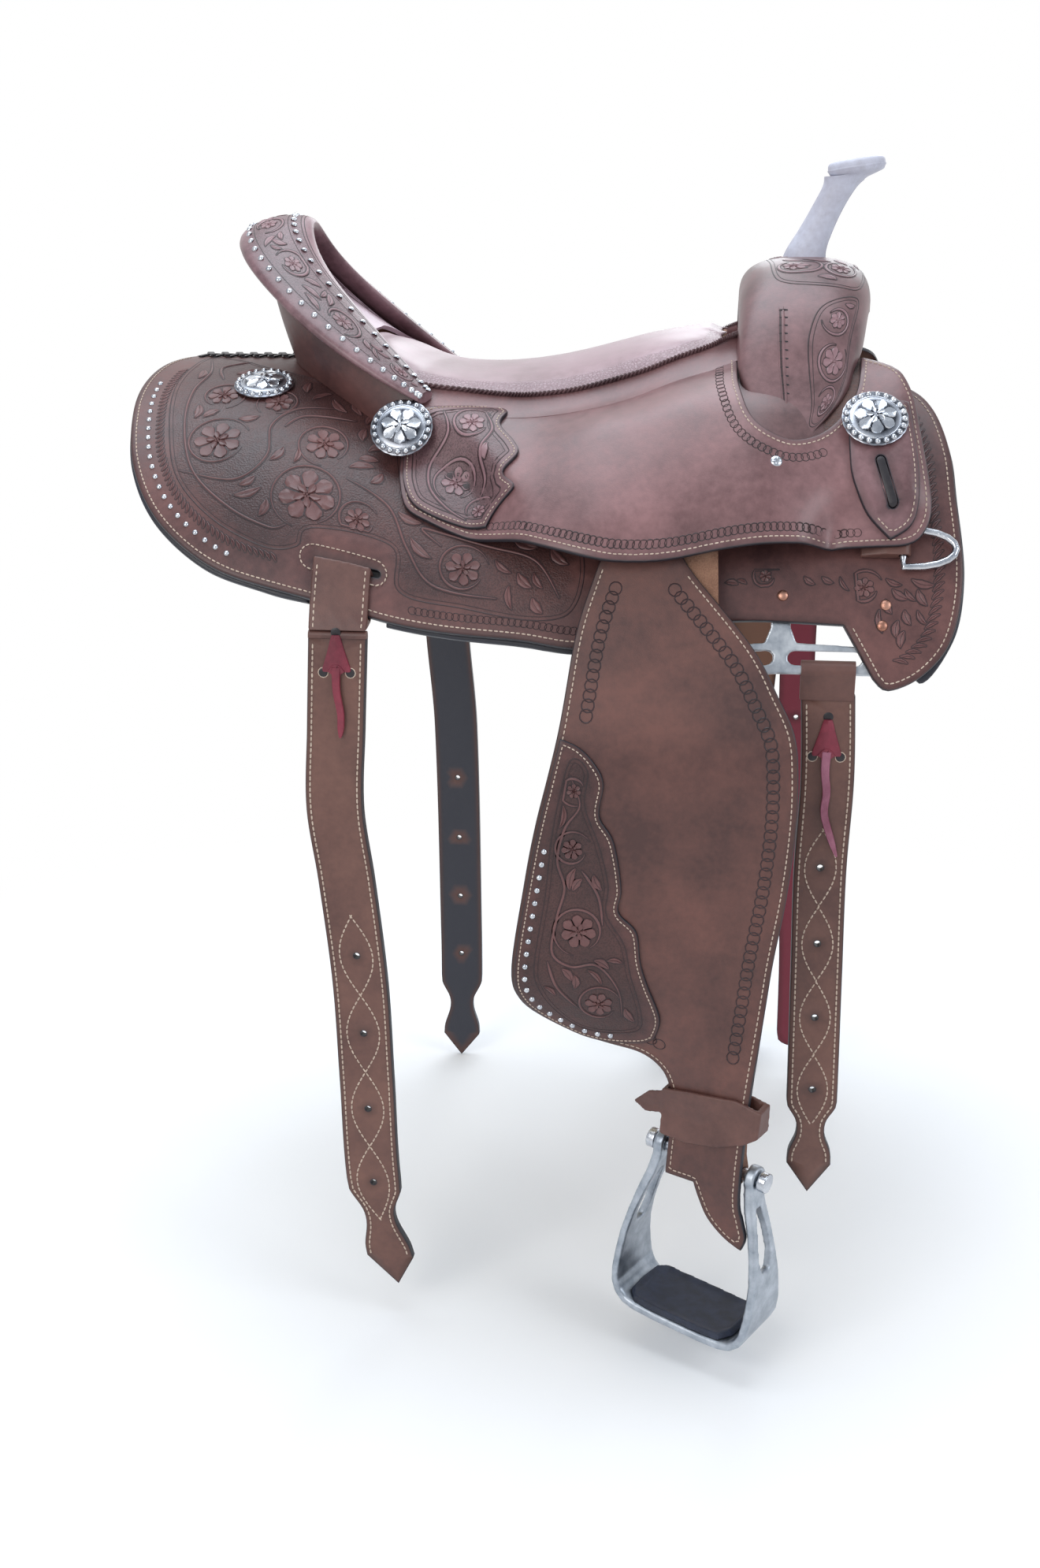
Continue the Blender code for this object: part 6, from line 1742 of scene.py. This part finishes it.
def build_swell_details():
    seam = []
    stitches = []
    for side in (1, -1):
        line = [Vector((-side * mix(116, 228, k / 30), 90 - 3 * sin(pi * k / 30))) for k in range(31)]
        seam.append(relief(line, [(0, 0.4), (0.1, 1.5), (0.9, 1.8), (1, 1.0)], 1.6, swell_face, level))
        groove = [p + Vector((0, 3.4)) for p in line]
        seam.append(relief(groove, [(0, 0.4), (0.1, 0.9), (1, 0.9)], 0.8, swell_face, level))
        for p in line[1:22:2]:
            across = [p + Vector((0, d)) for d in (-3.2, 0, 3.2)]
            stitches.append(relief(across, [(0, 0.35), (0.5, 0.7), (1, 0.35)], 2.1, swell_face, level))
    merged("swell_seam", seam, SWELL_LOOK)
    merged("swell_seam_thread", stitches, BLACK_LACE_LOOK)
    parts = []
    cuts = []
    for side in (1, -1):
        line = [Vector((-side * mix(118, 234, k / 30), 92.2 - 3 * sin(pi * k / 30))) for k in range(31)]
        cuts.append(relief(line, [(0, 0.4), (0.1, 1.1), (1, 1.5)], 0.5, swell_face, level, FLAT))
        region = smooth_loop([(-side * u, v) for u, v in SWELL_PANEL], 4)
        flowers = [(-side * u, v, r, k)
                   for u, v, r, k in ((164, 48, 13, 0), (126, 52, 8, 1), (201, 44, 8, 2))]
        parts += scroll_parts(flowers, inset_line(region, 3.5), swell_face, level, 0.7, 15, cuts=cuts)
        cuts += border_parts(region, swell_face, level)
    crown = smooth_loop(SWELL_CROWN, 4)
    flowers = ((-62, 58, 9, 0.2), (62, 58, 9, 1.2), (-62, 86, 7, 0.4), (62, 86, 7, 0.9), (0, 96, 8, 0.1))
    parts += scroll_parts(flowers, inset_line(crown, 3.5), swell_face, level, 0.6, 15, bare=((0, 70, 34),),
                          cuts=cuts)
    cuts += border_parts(crown, swell_face, level)
    merged("swell_carving", parts, SCROLL_PALE_LOOK)
    merged("swell_cuts", cuts, CUT_LOOK)


ROPE_EDGE = vectors(((-131, -121, 10), (-110, -130, 2), (-69, -128, -3), (-37, -128, -6), (-12, -127, -6),
                     (21, -125, -2), (53, -124, 6), (83, -123, 15), (111, -120, 26), (137, -118, 35),
                     (152, -113, 42), (163, -104, 46)))


def build_rope_edge(name, side):
    """Twisted cord of leather between the seat and the jockey."""
    count = 330
    middle = [curved(ROPE_EDGE, (len(ROPE_EDGE) - 1) * k / count) for k in range(count + 1)]
    parts = []
    for strand in range(2):
        rings = []
        for k, p in enumerate(middle):
            run = run_at(middle, k)
            u = run.cross(Vector((0, 0, 1))).normalized()
            v = u.cross(run)
            a = k * 0.92 + strand * pi
            centre = p + (u * cos(a) + v * sin(a)) * 1.15
            rings.append([centre + (u * cos(b) + v * sin(b)) * 1.35 for b in angles(6)])
        parts.append(loft(rings))
    merged("rope_edge_" + name, parts, ROPE_LOOK, side=side)


def build_rear_lacing():
    """Dark laces that cross over the gap between the skirts behind the cantle."""
    def across(x, q, lift):
        p = body_point(x, abs(q), lift)
        return Vector((p.x, p.y if q >= 0 else -p.y, p.z))
    parts = []
    for k in range(8):
        x = -343 + 14 * k
        for start, end, lift in ((x, x + 13, 0.2), (x + 13, x, 1.7)):
            line = [Vector((mix(start, end, j / 10), mix(15, -15, j / 10))) for j in range(11)]
            parts.append(ribbon(line, [(0, 4.6), (0.5, 5.4), (1, 4.6)], 1.5, across, skirt_high, lift))
    merged("rear_lacing", parts, BLACK_LACE_LOOK)


def build_horn_details():
    """Welt round the horn's cap and a sewn seam down its neck."""
    rings = []
    for a in angles(48):
        rings.append([horn_cap_point(1.0 + 0.032 * cos(b), -0.12 + 0.1 * sin(b), a) for b in angles(6)])
    solid("horn_welt", *loft(rings, True), HORN_SHEEN_LOOK, "saddle", "horn_leather")
    rings = []
    for k in range(31):
        x, z, rx, _ = curved(HORN_PATH, 0.4 + 4.2 * k / 30)
        rings.append([Vector((x + rx - 0.2 + 0.9 * cos(b), 1.1 * sin(b), z)) for b in angles(6)])
    solid("horn_seam", *loft(rings), HORN_SHEEN_LOOK, "saddle", "horn_leather")


SWELL_APRON = [(140, 92), (155, 108), (158, 157), (171, 195), (199, 212), (226, 208), (248, 191), (264, 158),
               (268, 120), (240, 100), (180, 92)]


def build_aprons(name, side):
    """Leather that fills the jockey's cut-out round the swell, and that rises from the jockey to the seat."""
    high = lambda x, s: jockey_low(x, s) - mix(1, 6, ease((s - 100) / 60))
    sheet("swell_apron_" + name, smooth_loop(SWELL_APRON, 5), body_point, lambda x, s: high(x, s) - 3, high,
          SWELL_APRON_LOOK, "saddle", side, step=8)
    rings = []
    count = 60
    starts = [115, 114, 113, 113, 112, 111, 109, 107, 104, 102, 96, 90]
    for k in range(count + 1):
        place = (len(ROPE_EDGE) - 1) * k / count
        top = curved(ROPE_EDGE, place) + Vector((0, 1.5, -0.4))
        s = curved(starts, place)
        x = top.x
        middle = body_point(x, s + 7, jockey_high(x, s + 7) + 3)
        foot = body_point(x, s + 24, jockey_high(x, s + 24) - 0.1)
        line = [top * (1 - t) ** 2 + middle * (2 * t * (1 - t)) + foot * t ** 2
                for t in (j / 7 for j in range(8))]
        rings.append(line + [p - Vector((0, -1.0, 3.2)) for p in reversed(line)])
    solid("seat_rise_" + name, *loft(rings), RISE_LEATHER_AND_SHEEN_LOOK, "saddle", side=side)


def main():
    build_stage()
    build_cantle()
    build_seat()
    build_swell()
    build_horn()
    for name, side in SIDES:
        build_sheets(name, side)
        build_fleece(name, side)
        build_conchos(name, side)
        build_hardware(name)
        build_skirt_details(name, side)
        build_jockey_details(name, side)
        build_fender_details(name, side)
        build_rope_edge(name, side)
        build_aprons(name, side)
    build_cantle_details()
    build_swell_details()
    build_rear_lacing()
    build_horn_details()
    build_billets()
    dress("tree_fork", FORK_LOOK)
    dress("tree_cantle", WOOD_LOOK)
    dress("ground_seat", SUEDE_LOOK)


main()
